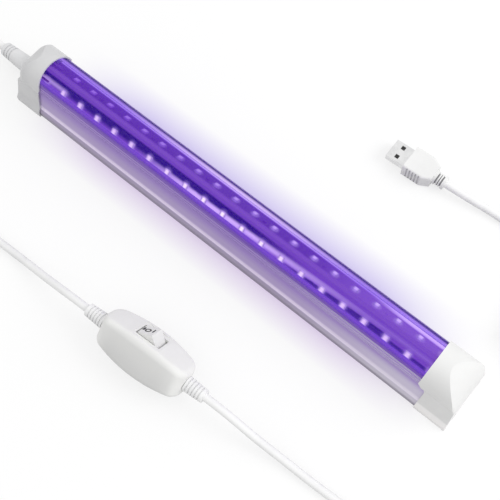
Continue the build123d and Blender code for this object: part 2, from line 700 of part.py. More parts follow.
def plug_body():
    """Moulded grip: ribbed sides, narrowing rear with cut corners, ribbed neck."""
    start = PLUG_SHELL_LENGTH
    end = start + PLUG_GRIP_LENGTH
    half = PLUG_GRIP_WIDTH / 2
    plan = [
        (start, -half),
        (end - PLUG_REAR_RUN, -half),
        (end, -half + PLUG_REAR_CHAMFER),
        (end, half - PLUG_REAR_CHAMFER),
        (end - PLUG_REAR_RUN, half),
        (start, half),
    ]
    face = make_face(Polyline(*plan, close=True).edges())
    grip = extrude(face, amount=PLUG_GRIP_HEIGHT / 2, both=True)
    long_edges = [edge for edge in grip.edges() if abs(edge.center().Z) > PLUG_GRIP_HEIGHT / 2 - 0.01]
    long_edges = [edge for edge in long_edges if start + 0.01 < edge.center().X < end - 0.01]
    grip = fillet(long_edges, PLUG_GRIP_ROUND)
    for index in range(PLUG_RIBS):
        for way in (-1, 1):
            place = Pos(start + PLUG_RIB_START + index * PLUG_RIB_PITCH, way * half, 0)
            grip -= place * Cylinder(PLUG_RIB_RADIUS, PLUG_GRIP_HEIGHT - 2 * PLUG_GRIP_ROUND)
    grip += Pos(end, 0, 0) * plug_neck()
    tail = (PLUG_SHELL_TAIL, PLUG_SHELL_WIDTH, PLUG_SHELL_HEIGHT)
    grip -= Pos(start + PLUG_SHELL_TAIL / 2, 0, 0) * Box(*tail)
    return grip


def plug_tongue():
    """Insulating tongue in the upper half of the shell, seated on the grip behind it."""
    length = PLUG_SHELL_LENGTH + PLUG_SHELL_TAIL - PLUG_TONGUE_BACK
    top = PLUG_SHELL_HEIGHT / 2 - PLUG_SHELL_WALL
    middle = PLUG_TONGUE_BACK + length / 2
    return Pos(middle, 0, top - PLUG_TONGUE_HEIGHT / 2) * Box(length, PLUG_TONGUE_WIDTH, PLUG_TONGUE_HEIGHT)


def plug_contacts():
    """Flat contacts on the underside of the tongue."""
    level = PLUG_SHELL_HEIGHT / 2 - PLUG_SHELL_WALL - PLUG_TONGUE_HEIGHT - PLUG_CONTACT_SIZE[2] / 2
    start = PLUG_TONGUE_BACK + 1.0 + PLUG_CONTACT_SIZE[0] / 2
    strips = []
    for index in range(PLUG_CONTACTS):
        across = (index - (PLUG_CONTACTS - 1) / 2) * PLUG_CONTACT_PITCH
        strips.append((Pos(start, across, level) * Box(*PLUG_CONTACT_SIZE)).solid())
    return Compound(strips)


def cord_radii(points):
    """Bend radius at each inner point, as large as its shorter run allows."""
    radii = []
    for before, corner, after in zip(points, points[1:], points[2:]):
        run_in = Vector(*corner) - Vector(*before)
        run_out = Vector(*after) - Vector(*corner)
        turn = math.radians(run_in.get_angle(run_out))
        radii.append(0.45 * min(run_in.length, run_out.length) / math.tan(turn / 2))
    return radii


def cord_tube(name, points):
    """Round lead along straight runs joined by tangent arcs."""
    radii = cord_radii(points)
    path = FilletPolyline(*points, radius=radii)
    start = Plane(origin=path @ 0, z_dir=path % 0)
    tube = sweep(start * Circle(CORD_RADIUS), path=path)
    ideal = math.pi * CORD_RADIUS**2 * path.length
    smallest = min(radii) / CORD_DIAMETER
    print(f"{name}: {path.length:.0f} mm, volume {tube.volume / ideal:.4f} of section by length")
    print(f"{name}: least bend {smallest:.1f} diameters, radii", *[round(radius) for radius in radii])
    return tube


def lamp_cord_route(switch_lead, switch_end):
    """From the lamp's strain relief, down to the surface and back along it to the switch."""
    return [
        boot_tip(),
        (-194, 0, BOOT_HEIGHT),
        (-213, -5, 4.4),
        (-227, -19, CORD_LEVEL),
        (-233, -40, CORD_LEVEL),
        (-229, -62, CORD_LEVEL),
        (-214, -79, CORD_LEVEL),
        (-191, -88, CORD_LEVEL),
        (-161, -91.5, CORD_LEVEL),
        (-125, -91.6, CORD_LEVEL),
        (-95, -90, CORD_LEVEL),
        (-76, -89.1, 3.4),
        (-57, -88.8, 8),
        switch_lead,
        switch_end,
    ]


def supply_near_route(switch_end, switch_lead):
    """From the switch along the surface and round to the coil."""
    return [
        switch_end,
        switch_lead,
        (85, -82, 8),
        (103, -80.9, 3.4),
        (122, -80.3, CORD_LEVEL),
        (150, -78.2, CORD_LEVEL),
        (178, -67.5, CORD_LEVEL),
        (199.5, -46, CORD_LEVEL),
        (211, -17, CORD_LEVEL),
        (213, 13, CORD_LEVEL),
        (208.5, 38, COIL_LIFT + CORD_RADIUS),
        (206.3, 55, COIL_LIFT + CORD_RADIUS),
    ]


def supply_far_route(plug_lead, plug_end):
    """From the top of the coil, over its turns, down to the surface and to the plug."""
    rise = math.sqrt(3) * CORD_DIAMETER
    top = COIL_LIFT + CORD_RADIUS + rise
    return [
        (COIL_CENTRE[0], COIL_CENTRE[1] + COIL_RADIUS, top),
        (163, 85.6, top - 1.2),
        (146, 90.5, 5.2),
        (128, 95.2, CORD_LEVEL),
        (108, 95.7, CORD_LEVEL),
        plug_lead,
        plug_end,
    ]


def supply_coil():
    """Outer shape of the coiled lead: three turns, two on them and one on top."""
    reach = 1.5 * CORD_DIAMETER
    top = COIL_LIFT + CORD_DIAMETER * (1 + math.sqrt(3))
    shoulder = COIL_LIFT + 0.75 * CORD_DIAMETER
    points = [
        (COIL_RADIUS - reach, COIL_LIFT),
        (COIL_RADIUS + reach, COIL_LIFT),
        (COIL_RADIUS + reach, shoulder),
        (COIL_RADIUS + CORD_RADIUS, top),
        (COIL_RADIUS - CORD_RADIUS, top),
        (COIL_RADIUS - reach, shoulder),
    ]
    face = make_face(Polyline(*points, close=True).edges())
    return Pos(*COIL_CENTRE, 0) * revolve(Plane.XZ * face, axis=Axis.Z)


def coil_tie():
    """Strap round the bundle of turns."""
    reach = 1.5 * CORD_DIAMETER + TIE_GAP
    top = COIL_LIFT + CORD_DIAMETER * (1 + math.sqrt(3)) + TIE_GAP
    shoulder = COIL_LIFT + 0.75 * CORD_DIAMETER
    bottom = COIL_LIFT - TIE_GAP
    points = [
        (-reach, bottom),
        (reach, bottom),
        (reach, shoulder),
        (CORD_RADIUS + TIE_GAP, top),
        (-CORD_RADIUS - TIE_GAP, top),
        (-reach, shoulder),
    ]
    inside = make_face(Polyline(*points, close=True).edges())
    band = offset(inside, amount=TIE_THICKNESS, kind=Kind.INTERSECTION) - inside
    strap = across_y(band, TIE_WIDTH)
    return Pos(*COIL_CENTRE, 0) * Rot(0, 0, TIE_ANGLE) * Pos(COIL_RADIUS, 0, 0) * strap


def at(frame, x):
    """Point on a frame's X axis."""
    spot = (frame * Pos(x, 0, 0)).position
    return (spot.X, spot.Y, spot.Z)


def build():
    switch = switch_frame()
    plug = plug_frame()
    boot_end = SWITCH_LENGTH / 2 + FIT_GAP + SWITCH_BOOT_LENGTH
    plug_end = PLUG_SHELL_LENGTH + PLUG_GRIP_LENGTH + PLUG_NECK_LENGTH
    lead = boot_end + CORD_LEAD
    lamp_route = lamp_cord_route(at(switch, -lead), at(switch, -boot_end))
    near_route = supply_near_route(at(switch, boot_end), at(switch, lead))
    far_route = supply_far_route(at(plug, plug_end + CORD_LEAD), at(plug, plug_end))
    pivot = (switch * rocker_place()).position
    axis = (switch * Pos(0, -1, 0)).position - switch.position
    print("rocker pivot", *[round(value, 3) for value in pivot], "axis", *[round(value, 5) for value in axis])
    return {
        "aluminium_channel": aluminium_channel(),
        "clear_cover": clear_cover(),
        "led_board_front": led_board(-1),
        "led_board_rear": led_board(1),
        "led_chips_front": led_chips(-1),
        "led_chips_rear": led_chips(1),
        "led_resistors": led_resistors(),
        "end_cap_plain": screwed_cap(PLAIN_CAP_RIM),
        "end_cap_cord": cord_cap(),
        "end_cap_screws": cap_screws(),
        "cord_boot": cord_boot(),
        "lead_wire_red": lead_wire(-1),
        "lead_wire_black": lead_wire(1),
        "jumper_wires": jumper_wires(),
        "lamp_cord": cord_tube("lamp_cord", lamp_route),
        "switch_upper_shell": switch * switch_upper_shell(),
        "switch_lower_shell": switch * switch_lower_shell(),
        "switch_rocker": switch * switch_rocker(),
        "switch_boot_lamp": switch * switch_boot(-1),
        "switch_boot_supply": switch * switch_boot(1),
        "switch_screws": switch * switch_screws(),
        "switch_contact_leaf": switch * switch_contact_leaf(),
        "switch_contact_fixed": switch * switch_contact_fixed(),
        "supply_cord_near": cord_tube("supply_cord_near", near_route),
        "supply_coil": supply_coil(),
        "supply_cord_far": cord_tube("supply_cord_far", far_route),
        "coil_tie": coil_tie(),
        "plug_body": plug * plug_body(),
        "plug_shell": plug * plug_shell(),
        "plug_tongue": plug * plug_tongue(),
        "plug_contacts": plug * plug_contacts(),
    }


if __name__ == "__main__":
    os.makedirs("parts", exist_ok=True)
    for node, shape in build().items():
        export_step(shape, f"parts/{node}.step")
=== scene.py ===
"""Looks of a short black light tube lamp with its lead, in-line switch and flat plug."""
import logging
import math
from dataclasses import dataclass
from enum import Enum

import bmesh
import bpy
from mathutils import Matrix, Vector


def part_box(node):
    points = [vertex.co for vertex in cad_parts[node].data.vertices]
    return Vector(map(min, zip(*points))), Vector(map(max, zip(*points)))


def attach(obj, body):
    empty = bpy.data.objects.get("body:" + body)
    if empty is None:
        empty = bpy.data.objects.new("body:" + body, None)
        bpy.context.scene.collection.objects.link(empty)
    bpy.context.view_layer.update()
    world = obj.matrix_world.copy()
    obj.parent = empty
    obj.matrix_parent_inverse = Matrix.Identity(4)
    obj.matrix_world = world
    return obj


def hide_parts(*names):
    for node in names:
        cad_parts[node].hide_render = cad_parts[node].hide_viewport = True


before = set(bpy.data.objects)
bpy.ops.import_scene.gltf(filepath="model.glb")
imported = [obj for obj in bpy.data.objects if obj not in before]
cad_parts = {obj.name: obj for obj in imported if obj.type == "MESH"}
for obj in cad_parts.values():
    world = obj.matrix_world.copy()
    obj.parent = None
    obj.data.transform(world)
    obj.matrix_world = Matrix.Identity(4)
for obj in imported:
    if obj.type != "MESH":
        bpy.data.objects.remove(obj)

LOG = logging.getLogger("tube_lamp")
MM = 0.001
BLACK = (0.0, 0.0, 0.0)
WHITE = (1.0, 1.0, 1.0)
Pair = tuple[float, float]
Ramp = tuple[float, float]
Triple = tuple[float, float, float]
Colour = tuple[float, float, float]
Coats = dict[str, object]
Socket = bpy.types.NodeSocket
Material = bpy.types.Material
Piece = bpy.types.Object


class Body(Enum):
    """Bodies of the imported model."""

    LAMP = "lamp"
    ROCKER = "rocker"


class Side(Enum):
    """The two slopes of the lamp's ridge, as the sign of Y."""

    FRONT = -1
    REAR = 1


def add_object(name: str, data: bpy.types.ID) -> Piece:
    """Put an object into the scene.

    Args:
        name: its name.
        data: its mesh, curve, camera or light.

    Returns:
        The object, at the origin.
    """
    piece = bpy.data.objects.new(name, data)
    bpy.context.scene.collection.objects.link(piece)
    return piece


@dataclass(frozen=True)
class Lay:
    """How a piece on the lead lies: its zero on the floor in millimetres, turn, a node on its axis, and tip."""

    middle: Pair
    yaw: float
    node: str
    tip: float = 0.0

    def point(self, along: float) -> Triple:
        """Point on the piece's axis, which goes through the middle of its node.

        Args:
            along: distance from the piece's zero.

        Returns:
            The point, in millimetres.
        """
        low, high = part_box(self.node)
        spot = Vector(self.middle) + along * Vector((math.cos(self.yaw), math.sin(self.yaw)))
        return (spot.x, spot.y, (low.z + high.z) / 2 / MM)


SWITCH_LAY = Lay((14.7, -85.1), math.radians(3.2), "switch_boot_lamp", math.radians(-45.0))
PLUG_LAY = Lay((41.4, 91.4), math.radians(1.5), "plug_shell")


class Value:
    """A number on a shader socket, with Python arithmetic."""

    def __init__(self, bench: "Bench", socket: Socket) -> None:
        """Wrap a socket of the bench's tree."""
        self.bench = bench
        self.socket = socket

    def maths(self, operation: str, *others: "Value | float") -> "Value":
        """Add a Math node with this value as its first operand."""
        inputs = dict(enumerate((self, *others)))
        return self.bench.value("ShaderNodeMath", {"operation": operation}, inputs)

    def __add__(self, other: "Value | float") -> "Value":
        """Sum."""
        return self.maths("ADD", other)

    __radd__ = __add__

    def __sub__(self, other: "Value | float") -> "Value":
        """Difference."""
        return self.maths("SUBTRACT", other)

    def __rsub__(self, other: float) -> "Value":
        """Difference from a number."""
        return self.bench.value("ShaderNodeMath", {"operation": "SUBTRACT"}, {0: other, 1: self})

    def __mul__(self, other: "Value | float") -> "Value":
        """Product."""
        return self.maths("MULTIPLY", other)

    __rmul__ = __mul__

    def __abs__(self) -> "Value":
        """Size without its sign."""
        return self.maths("ABSOLUTE")

    def most(self, other: "Value") -> "Value":
        """The greater of two."""
        return self.maths("MAXIMUM", other)

    def root(self) -> "Value":
        """Square root."""
        return self.maths("SQRT")

    def turns(self, pitch: float, start: float = 0.5) -> "Value":
        """Place within one repeat of a row, from 0 to 1; start is what the row's zero gives."""
        return (self * (1 / pitch) + start).maths("FRACT")

    def step(self, low: float, high: float, smooth: bool = True) -> "Value":
        """Ramp from 0 at low to 1 at high.

        Args:
            low: where the ramp starts.
            high: where it ends; below low for a falling ramp.
            smooth: whether it eases in and out.

        Returns:
            The ramp's value, between 0 and 1.
        """
        kind = "SMOOTHSTEP" if smooth else "LINEAR"
        start, end = sorted((low, high))
        rises = float(low < high)
        ends = {"From Min": start, "From Max": end, "To Min": 1.0 - rises, "To Max": rises}
        return self.bench.value("ShaderNodeMapRange", {"interpolation_type": kind}, {"Value": self, **ends})

    def bump_at(self, middle: float, half: float) -> "Value":
        """Soft hill of height 1 about a place, as wide as half to each side."""
        return abs(self - middle).step(half, 0.0)

    def between(self, low: float, high: float, soft: float) -> "Value":
        """1 from low to high, with soft edges inside them, and 0 beyond."""
        return self.step(low, low + soft) * self.step(high, high - soft)

    def blend(self, low: "Colour | Socket", high: "Colour | Socket") -> Socket:
        """Mix two colours by this value: the first at 0, the second at 1."""
        settings = {"data_type": "RGBA", "clamp_factor": True}
        return self.bench.node("ShaderNodeMix", settings, {0: self, 6: low, 7: high}).outputs[2]


Spot = tuple[Value, Value, Value]


class Bench:
    """A node tree under construction."""

    def __init__(self, tree: bpy.types.NodeTree) -> None:
        """Start on a tree."""
        self.tree = tree

    def node(self, kind: str, settings: dict | None = None, sockets: dict | None = None) -> bpy.types.Node:
        """Add a node.

        Args:
            kind: the node's type.
            settings: its properties, set first.
            sockets: values or links of its inputs, by name or place.

        Returns:
            The node.
        """
        made = self.tree.nodes.new(kind)
        for name, setting in (settings or {}).items():
            setattr(made, name, setting)
        for key, wanted in (sockets or {}).items():
            self.plug(made.inputs[key], wanted)
        return made

    def plug(self, socket: Socket, wanted: object) -> None:
        """Link a socket, or set its own value.

        Args:
            socket: the input.
            wanted: the socket, the colour or the number that it gets.
        """
        if isinstance(wanted, Value):
            wanted = wanted.socket
        if isinstance(wanted, Socket):
            self.tree.links.new(wanted, socket)
        elif socket.type == "RGBA":
            socket.default_value = (*wanted, 1.0)
        else:
            socket.default_value = wanted

    def value(self, kind: str, settings: dict | None = None, sockets: dict | None = None) -> Value:
        """Add a node and wrap its first output."""
        return Value(self, self.node(kind, settings, sockets).outputs[0])

    def out(self, kind: str, sockets: dict | None = None) -> Socket:
        """Add a node and give its first output."""
        return self.node(kind, None, sockets).outputs[0]

    def where(self) -> Socket:
        """Object coordinates."""
        return self.node("ShaderNodeTexCoord").outputs["Object"]

    def place(self) -> Spot:
        """Distances along, across and above the piece's zero, in millimetres."""
        parts = self.node("ShaderNodeSeparateXYZ", None, {0: self.where()}).outputs
        return tuple(Value(self, part) * (1 / MM) for part in parts)

    def laid(self, lay: Lay) -> Spot:
        """Place on a piece that lies turned on the floor.

        Args:
            lay: how it lies.

        Returns:
            Distances along and across the piece, and the height, in millimetres.
        """
        east, north, up = self.place()
        east, north = east - lay.middle[0], north - lay.middle[1]
        along = east * math.cos(lay.yaw) + north * math.sin(lay.yaw)
        return along, north * math.cos(lay.yaw) - east * math.sin(lay.yaw), up

    def noise(self, scale: Triple, detail: float = 3.0) -> Value:
        """Noise over the piece.

        Args:
            scale: features per metre along each axis.
            detail: octaves.

        Returns:
            A value about 0.5.
        """
        mapped = self.out("ShaderNodeMapping", {"Vector": self.where(), "Scale": scale})
        sockets = {"Vector": mapped, "Scale": 1.0, "Detail": detail, "Roughness": 0.55}
        return self.value("ShaderNodeTexNoise", None, sockets)

    def bump(self, height: Value, strength: float) -> Socket:
        """Normal from a height of up to a fifth of a millimetre."""
        sockets = {"Height": height, "Strength": strength, "Distance": 0.2 * MM}
        return self.out("ShaderNodeBump", sockets)


@dataclass(frozen=True)
class Finish:
    """A surface: what all finishes have in common."""

    name: str
    roughness: float = 0.45

    def material(self) -> Material:
        """Make the material.

        Returns:
            A material whose Principled shader has what the finish's paint method gives.
        """
        made = bpy.data.materials.new(self.name)
        made.use_nodes = True
        bench = Bench(made.node_tree)
        shader = made.node_tree.nodes["Principled BSDF"].inputs
        coats = {"Roughness": self.roughness, **self.paint(bench)}
        if "Emission Color" in coats:
            coats["Emission Strength"] = 1.0
        for name, wanted in coats.items():
            bench.plug(shader[name], wanted)
        return made

    def paint(self, bench: Bench) -> Coats:
        """What the shader's sockets get, by their names."""
        raise NotImplementedError

    def worn(self, marks: Value, reach: float) -> Value:
        """Roughness that follows marks, up and down by half of reach."""
        return self.roughness + (marks - 0.5) * reach


@dataclass(frozen=True)
class Moulded(Finish):
    """Injection moulded plastic: soft mottle, fine spark grain, dull patches."""

    colour: Colour = (0.8, 0.8, 0.81)
    shade: Colour = (0.7, 0.7, 0.72)
    mottle: float = 60.0
    # lit: painted light, given as emission; foot: a paler colour below the lamp's shoulder, painted light
    lit: Colour | None = None
    foot: Colour | None = None
    foot_top: Ramp = (0.6, -0.4)
    patches: Ramp = (0.35, 0.7)
    grain: float = 2600.0
    grain_height: float = 0.06
    coat: float = 0.1
    coat_roughness: float = 0.25

    def skin(self, clouds: Value) -> Socket:
        """Mottled colour, with painted light below the lamp's shoulder where a foot colour is given.

        Args:
            clouds: the mottle.

        Returns:
            The colour.
        """
        shown = clouds.step(*self.patches).blend(self.colour, self.shade)
        if not self.foot:
            return shown
        _, _, up = clouds.bench.place()
        # painted light: the foot colour below the shoulder
        return (up - SECTION.shoulder).step(*self.foot_top).blend(shown, self.foot)

    def paint(self, bench: Bench) -> Coats:
        """Mix the plastic.

        Args:
            bench: the material's tree.

        Returns:
            What the shader's sockets get.
        """
        clouds = bench.noise((self.mottle,) * 3)
        grain = bench.noise((self.grain,) * 3, detail=1.0)
        coats = {
            "Base Color": self.skin(clouds),
            "Roughness": self.worn(clouds, reach=0.2) + (grain - 0.5) * 0.1,
            "Normal": bench.bump(grain, self.grain_height),
            "Coat Weight": self.coat,
            "Coat Roughness": self.coat_roughness,
        }
        # painted violet light on the part, as emission
        if self.lit:
            coats["Emission Color"] = self.lit
        return coats


@dataclass(frozen=True)
class Grip(Moulded):
    """Moulded plastic of the plug's grip, with painted shade in the grooves of its sides and its neck."""

    lay: Lay = PLUG_LAY
    first: float = 15.0
    last: float = 22.6
    pitch: float = 1.9
    groove_half: float = 0.34
    side: Ramp = (7.2, 7.6)
    level: float = 5.3
    neck: Pair = (30.5, 34.7)
    core: Ramp = (3.3, 3.1)
    # colour of the painted shade in the grooves
    painted_groove_shade: Colour = (0.3, 0.3, 0.31)

    def skin(self, clouds: Value) -> Socket:
        """Mottled colour, with painted shade in the grooves.

        Args:
            clouds: the mottle.

        Returns:
            The colour.
        """
        along, across, up = clouds.bench.laid(self.lay)
        cut = (along - self.first).turns(self.pitch).bump_at(0.5, self.groove_half)
        cut = cut * abs(across).step(*self.side) * along.between(self.first - 1.0, self.last + 1.0, soft=0.2)
        rise = up - self.level
        core = (across * across + rise * rise).root().step(*self.core)
        ring = core * along.between(*self.neck, soft=0.1)
        # painted shade in the side grooves and in the neck's grooves
        return cut.most(ring).blend(super().skin(clouds), self.painted_groove_shade)


@dataclass(frozen=True)
class Leaning(Moulded):
    """Moulded plastic of the switch, with painted shade down its front wall."""

    lay: Lay = SWITCH_LAY
    level: float = 14.1
    wall: Ramp = (-7.6, -10.0)
    drop: Ramp = (8.0, -10.0)
    least: float = 0.45
    # colour of the painted shade on the front wall
    dull: Colour = (0.65, 0.65, 0.645)

    def skin(self, clouds: Value) -> Socket:
        """Mottled colour, with painted shade down the front wall, deepest low on it.

        Args:
            clouds: the mottle.

        Returns:
            The colour.
        """
        _, north, up = clouds.bench.laid(self.lay)
        rise = up - self.level
        level, lean = math.cos(self.lay.tip), math.sin(self.lay.tip)
        across, height = north * level + rise * lean, rise * level - north * lean
        # painted shade: share of the darker colour, on the front wall and more towards its bottom
        share = across.step(*self.wall) * (self.least + height.step(*self.drop) * (1.0 - self.least))
        return share.blend(super().skin(clouds), self.dull)


@dataclass(frozen=True)
class Jacket(Finish):
    """Soft cord jacket: faint waviness and handling marks."""

    colour: Colour = (0.89, 0.89, 0.89)
    shade: Colour = (0.83, 0.83, 0.835)
    marks: float = 90.0
    rubbed: Ramp = (0.4, 0.75)
    waves: float = 1400.0

    def paint(self, bench: Bench) -> Coats:
        """Mix the rubber.

        Args:
            bench: the material's tree.

        Returns:
            What the shader's sockets get.
        """
        marks = bench.noise((self.marks,) * 3, detail=4.0)
        waves = bench.noise((self.waves,) * 3, detail=2.0)
        return {
            "Base Color": marks.step(*self.rubbed).blend(self.colour, self.shade),
            "Roughness": self.worn(marks, reach=0.25),
            "Normal": bench.bump(waves, strength=0.05),
        }


@dataclass(frozen=True)
class Metal(Finish):
    """Bare metal with drawn or stamped streaks."""

    colour: Colour = (0.7, 0.7, 0.72)
    shade: Colour = (0.5, 0.5, 0.53)
    streaks: Triple = (40.0, 3000.0, 3000.0)
    contrast: Ramp = (0.3, 0.7)
    metallic: float = 0.9

    def paint(self, bench: Bench) -> Coats:
        """Mix the metal.

        Args:
            bench: the material's tree.

        Returns:
            What the shader's sockets get.
        """
        lines = bench.noise(self.streaks)
        return {
            "Base Color": lines.step(*self.contrast).blend(self.shade, self.colour),
            "Metallic": self.metallic,
            "Roughness": self.worn(lines, reach=0.2),
            "Normal": bench.bump(lines, strength=0.08),
        }


@dataclass(frozen=True)
class LampSection:
    """Sizes of the lamp's section that the finishes follow, in millimetres."""

    axis: float = 24.3
    tube: float = 12.7
    trough: float = 11.1
    trough_skin: Ramp = (0.25, 0.1)
    trough_floor: Ramp = (-6.0, -5.0)
    ridge: float = 29.38
    ridge_seam: Ramp = (-0.3, 0.3)
    slope: float = math.radians(38.0)
    led_offset: float = 5.8
    led_pitch: float = 13.2
    board: float = 1.0
    package: float = 0.8
    shoulder: float = 6.5
    rim: float = 31.2

    def radius(self, across: Value, up: Value) -> Value:
        """Distance from the tube's axis."""
        rise = up - self.axis
        return (across * across + rise * rise).root()

    def in_trough(self, across: Value, up: Value) -> Value:
        """1 on the walls of the trough, 0 elsewhere."""
        skin = (self.radius(across, up) - self.trough).step(*self.trough_skin)
        return skin * (up - self.axis).step(*self.trough_floor)

    def behind(self, across: Value) -> Value:
        """1 behind the ridge, 0 in front of it."""
        return across.step(*self.ridge_seam)

    def fall(self, across: Value) -> Value:
        """Level distance from the ridge, measured along the slope."""
        return abs(across) * (1 / math.cos(self.slope))

    def on_board(self, offset: float) -> float:
        """What fall gives on a board's face, at a distance down the slope."""
        return offset + self.board * math.tan(self.slope)

    def from_led(self, along: Value) -> Value:
        """Distance along the lamp from the nearest LED."""
        return abs(along.turns(self.led_pitch) - 0.5) * self.led_pitch


SECTION = LampSection()


@dataclass(frozen=True)
class Shine:
    """How the violet light falls inside the lamp: its colours, and where each slope is bright or dark.

    A ramp runs along the lamp, or down a slope where its name ends in fall, across or edge.
    """

    violet: Colour = (0.29, 0.1, 0.62)
    crest: Colour = (0.335, 0.14, 0.62)
    dusk: Colour = (0.14, 0.035, 0.31)
    deep: Colour = (0.0, 0.0, 0.02)
    bright: Colour = (1.25, 0.86, 1.6)
    lilac: Colour = (0.62, 0.34, 1.2)
    streak_fall: float = 7.4
    streak_climb: float = 4.8
    streak_drift: Ramp = (-20.0, 130.0)
    streak_edge: Ramp = (2.5, 0.2)
    streak_start: Ramp = (-66.0, -16.0)
    streak_fade: Ramp = (0.0, 105.0)
    streak_loss: float = 0.85
    patch_end: Ramp = (-113.0, -123.0)
    patch_fall: Pair = (5.6, 2.3)
    patch_share: float = 0.6
    band_edge: Ramp = (1.3, -1.9)
    band_fall: Ramp = (0.7, 2.3)
    band_end: Ramp = (64.0, 14.0)
    dash_edge: Ramp = (1.5, 2.3)
    dash_fall: Ramp = (8.9, 8.1)
    dash_start: Ramp = (30.0, 56.0)
    dash_gap: Ramp = (1.4, 2.2)
    last_dash: Ramp = (100.0, 111.0)
    last_dash_fall: Ramp = (6.9, 5.9)
    wall_middle: Pair = (0.0, 95.0)
    wall_share: float = 0.6
    wall_across: Ramp = (9.4, 10.6)
    wall_loss: float = 0.35
    dim: Ramp = (90.0, 45.0)
    board_across: Ramp = (1.9, 3.7)
    ridge_across: Ramp = (1.0, -0.5)
    ridge_share: float = 0.4
    end_highlight: Ramp = (84.0, 112.0)
    end_highlight_across: Pair = (10.0, 2.6)

    def front(self, along: Value, fall: Value) -> Socket:
        """Light on the front slope: a drifting bright streak, dark above it at one end, below at the other.

        Args:
            along: place along the lamp.
            fall: place down the slope.

        Returns:
            The light's colour.
        """
        off = fall - self.streak_fall + along.step(*self.streak_drift) * self.streak_climb
        level = along.step(*self.streak_start) * (1.0 - along.step(*self.streak_fade) * self.streak_loss)
        streak = abs(off).step(*self.streak_edge) * level
        patch = along.step(*self.patch_end) * fall.bump_at(*self.patch_fall) * self.patch_share
        band = off.step(*self.band_edge) * fall.step(*self.band_fall) * along.step(*self.band_end)
        dash = off.step(*self.dash_edge) * fall.step(*self.dash_fall) * along.step(*self.dash_start)
        dash = dash * (1.0 - along.step(*self.last_dash) * fall.step(*self.last_dash_fall))
        dark = band.most(dash * SECTION.from_led(along).step(*self.dash_gap))
        return streak.most(patch).blend(dark.blend(self.violet, self.deep), self.bright)

    def rear(self, along: Value, across: Value) -> Socket:
        """Light on the rear slope and the wall behind it, brightest at the lamp's middle, with a painted
        highlight near one end.

        Args:
            along: place along the lamp.
            across: place across the lamp.

        Returns:
            The light's colour.
        """
        wall = (along.bump_at(*self.wall_middle) * self.wall_share).blend(self.lilac, self.bright)
        dim = along.step(*self.dim)
        # painted highlight on the rear wall near the lamp's end
        end_highlight = along.step(*self.end_highlight)
        slope = (across.step(*self.board_across) * dim).blend(self.crest, self.dusk)
        slope = (across.step(*self.ridge_across) * dim * self.ridge_share).blend(slope, self.deep)
        shown = (across.step(*self.wall_across) * (1.0 - end_highlight * self.wall_loss)).blend(slope, wall)
        return (across.bump_at(*self.end_highlight_across) * end_highlight).blend(shown, self.bright)

    def inside(self, along: Value, across: Value) -> Socket:
        """Light on whichever slope a place is on."""
        front = self.front(along, SECTION.fall(across))
        return SECTION.behind(across).blend(front, self.rear(along, across))


SHINE = Shine()


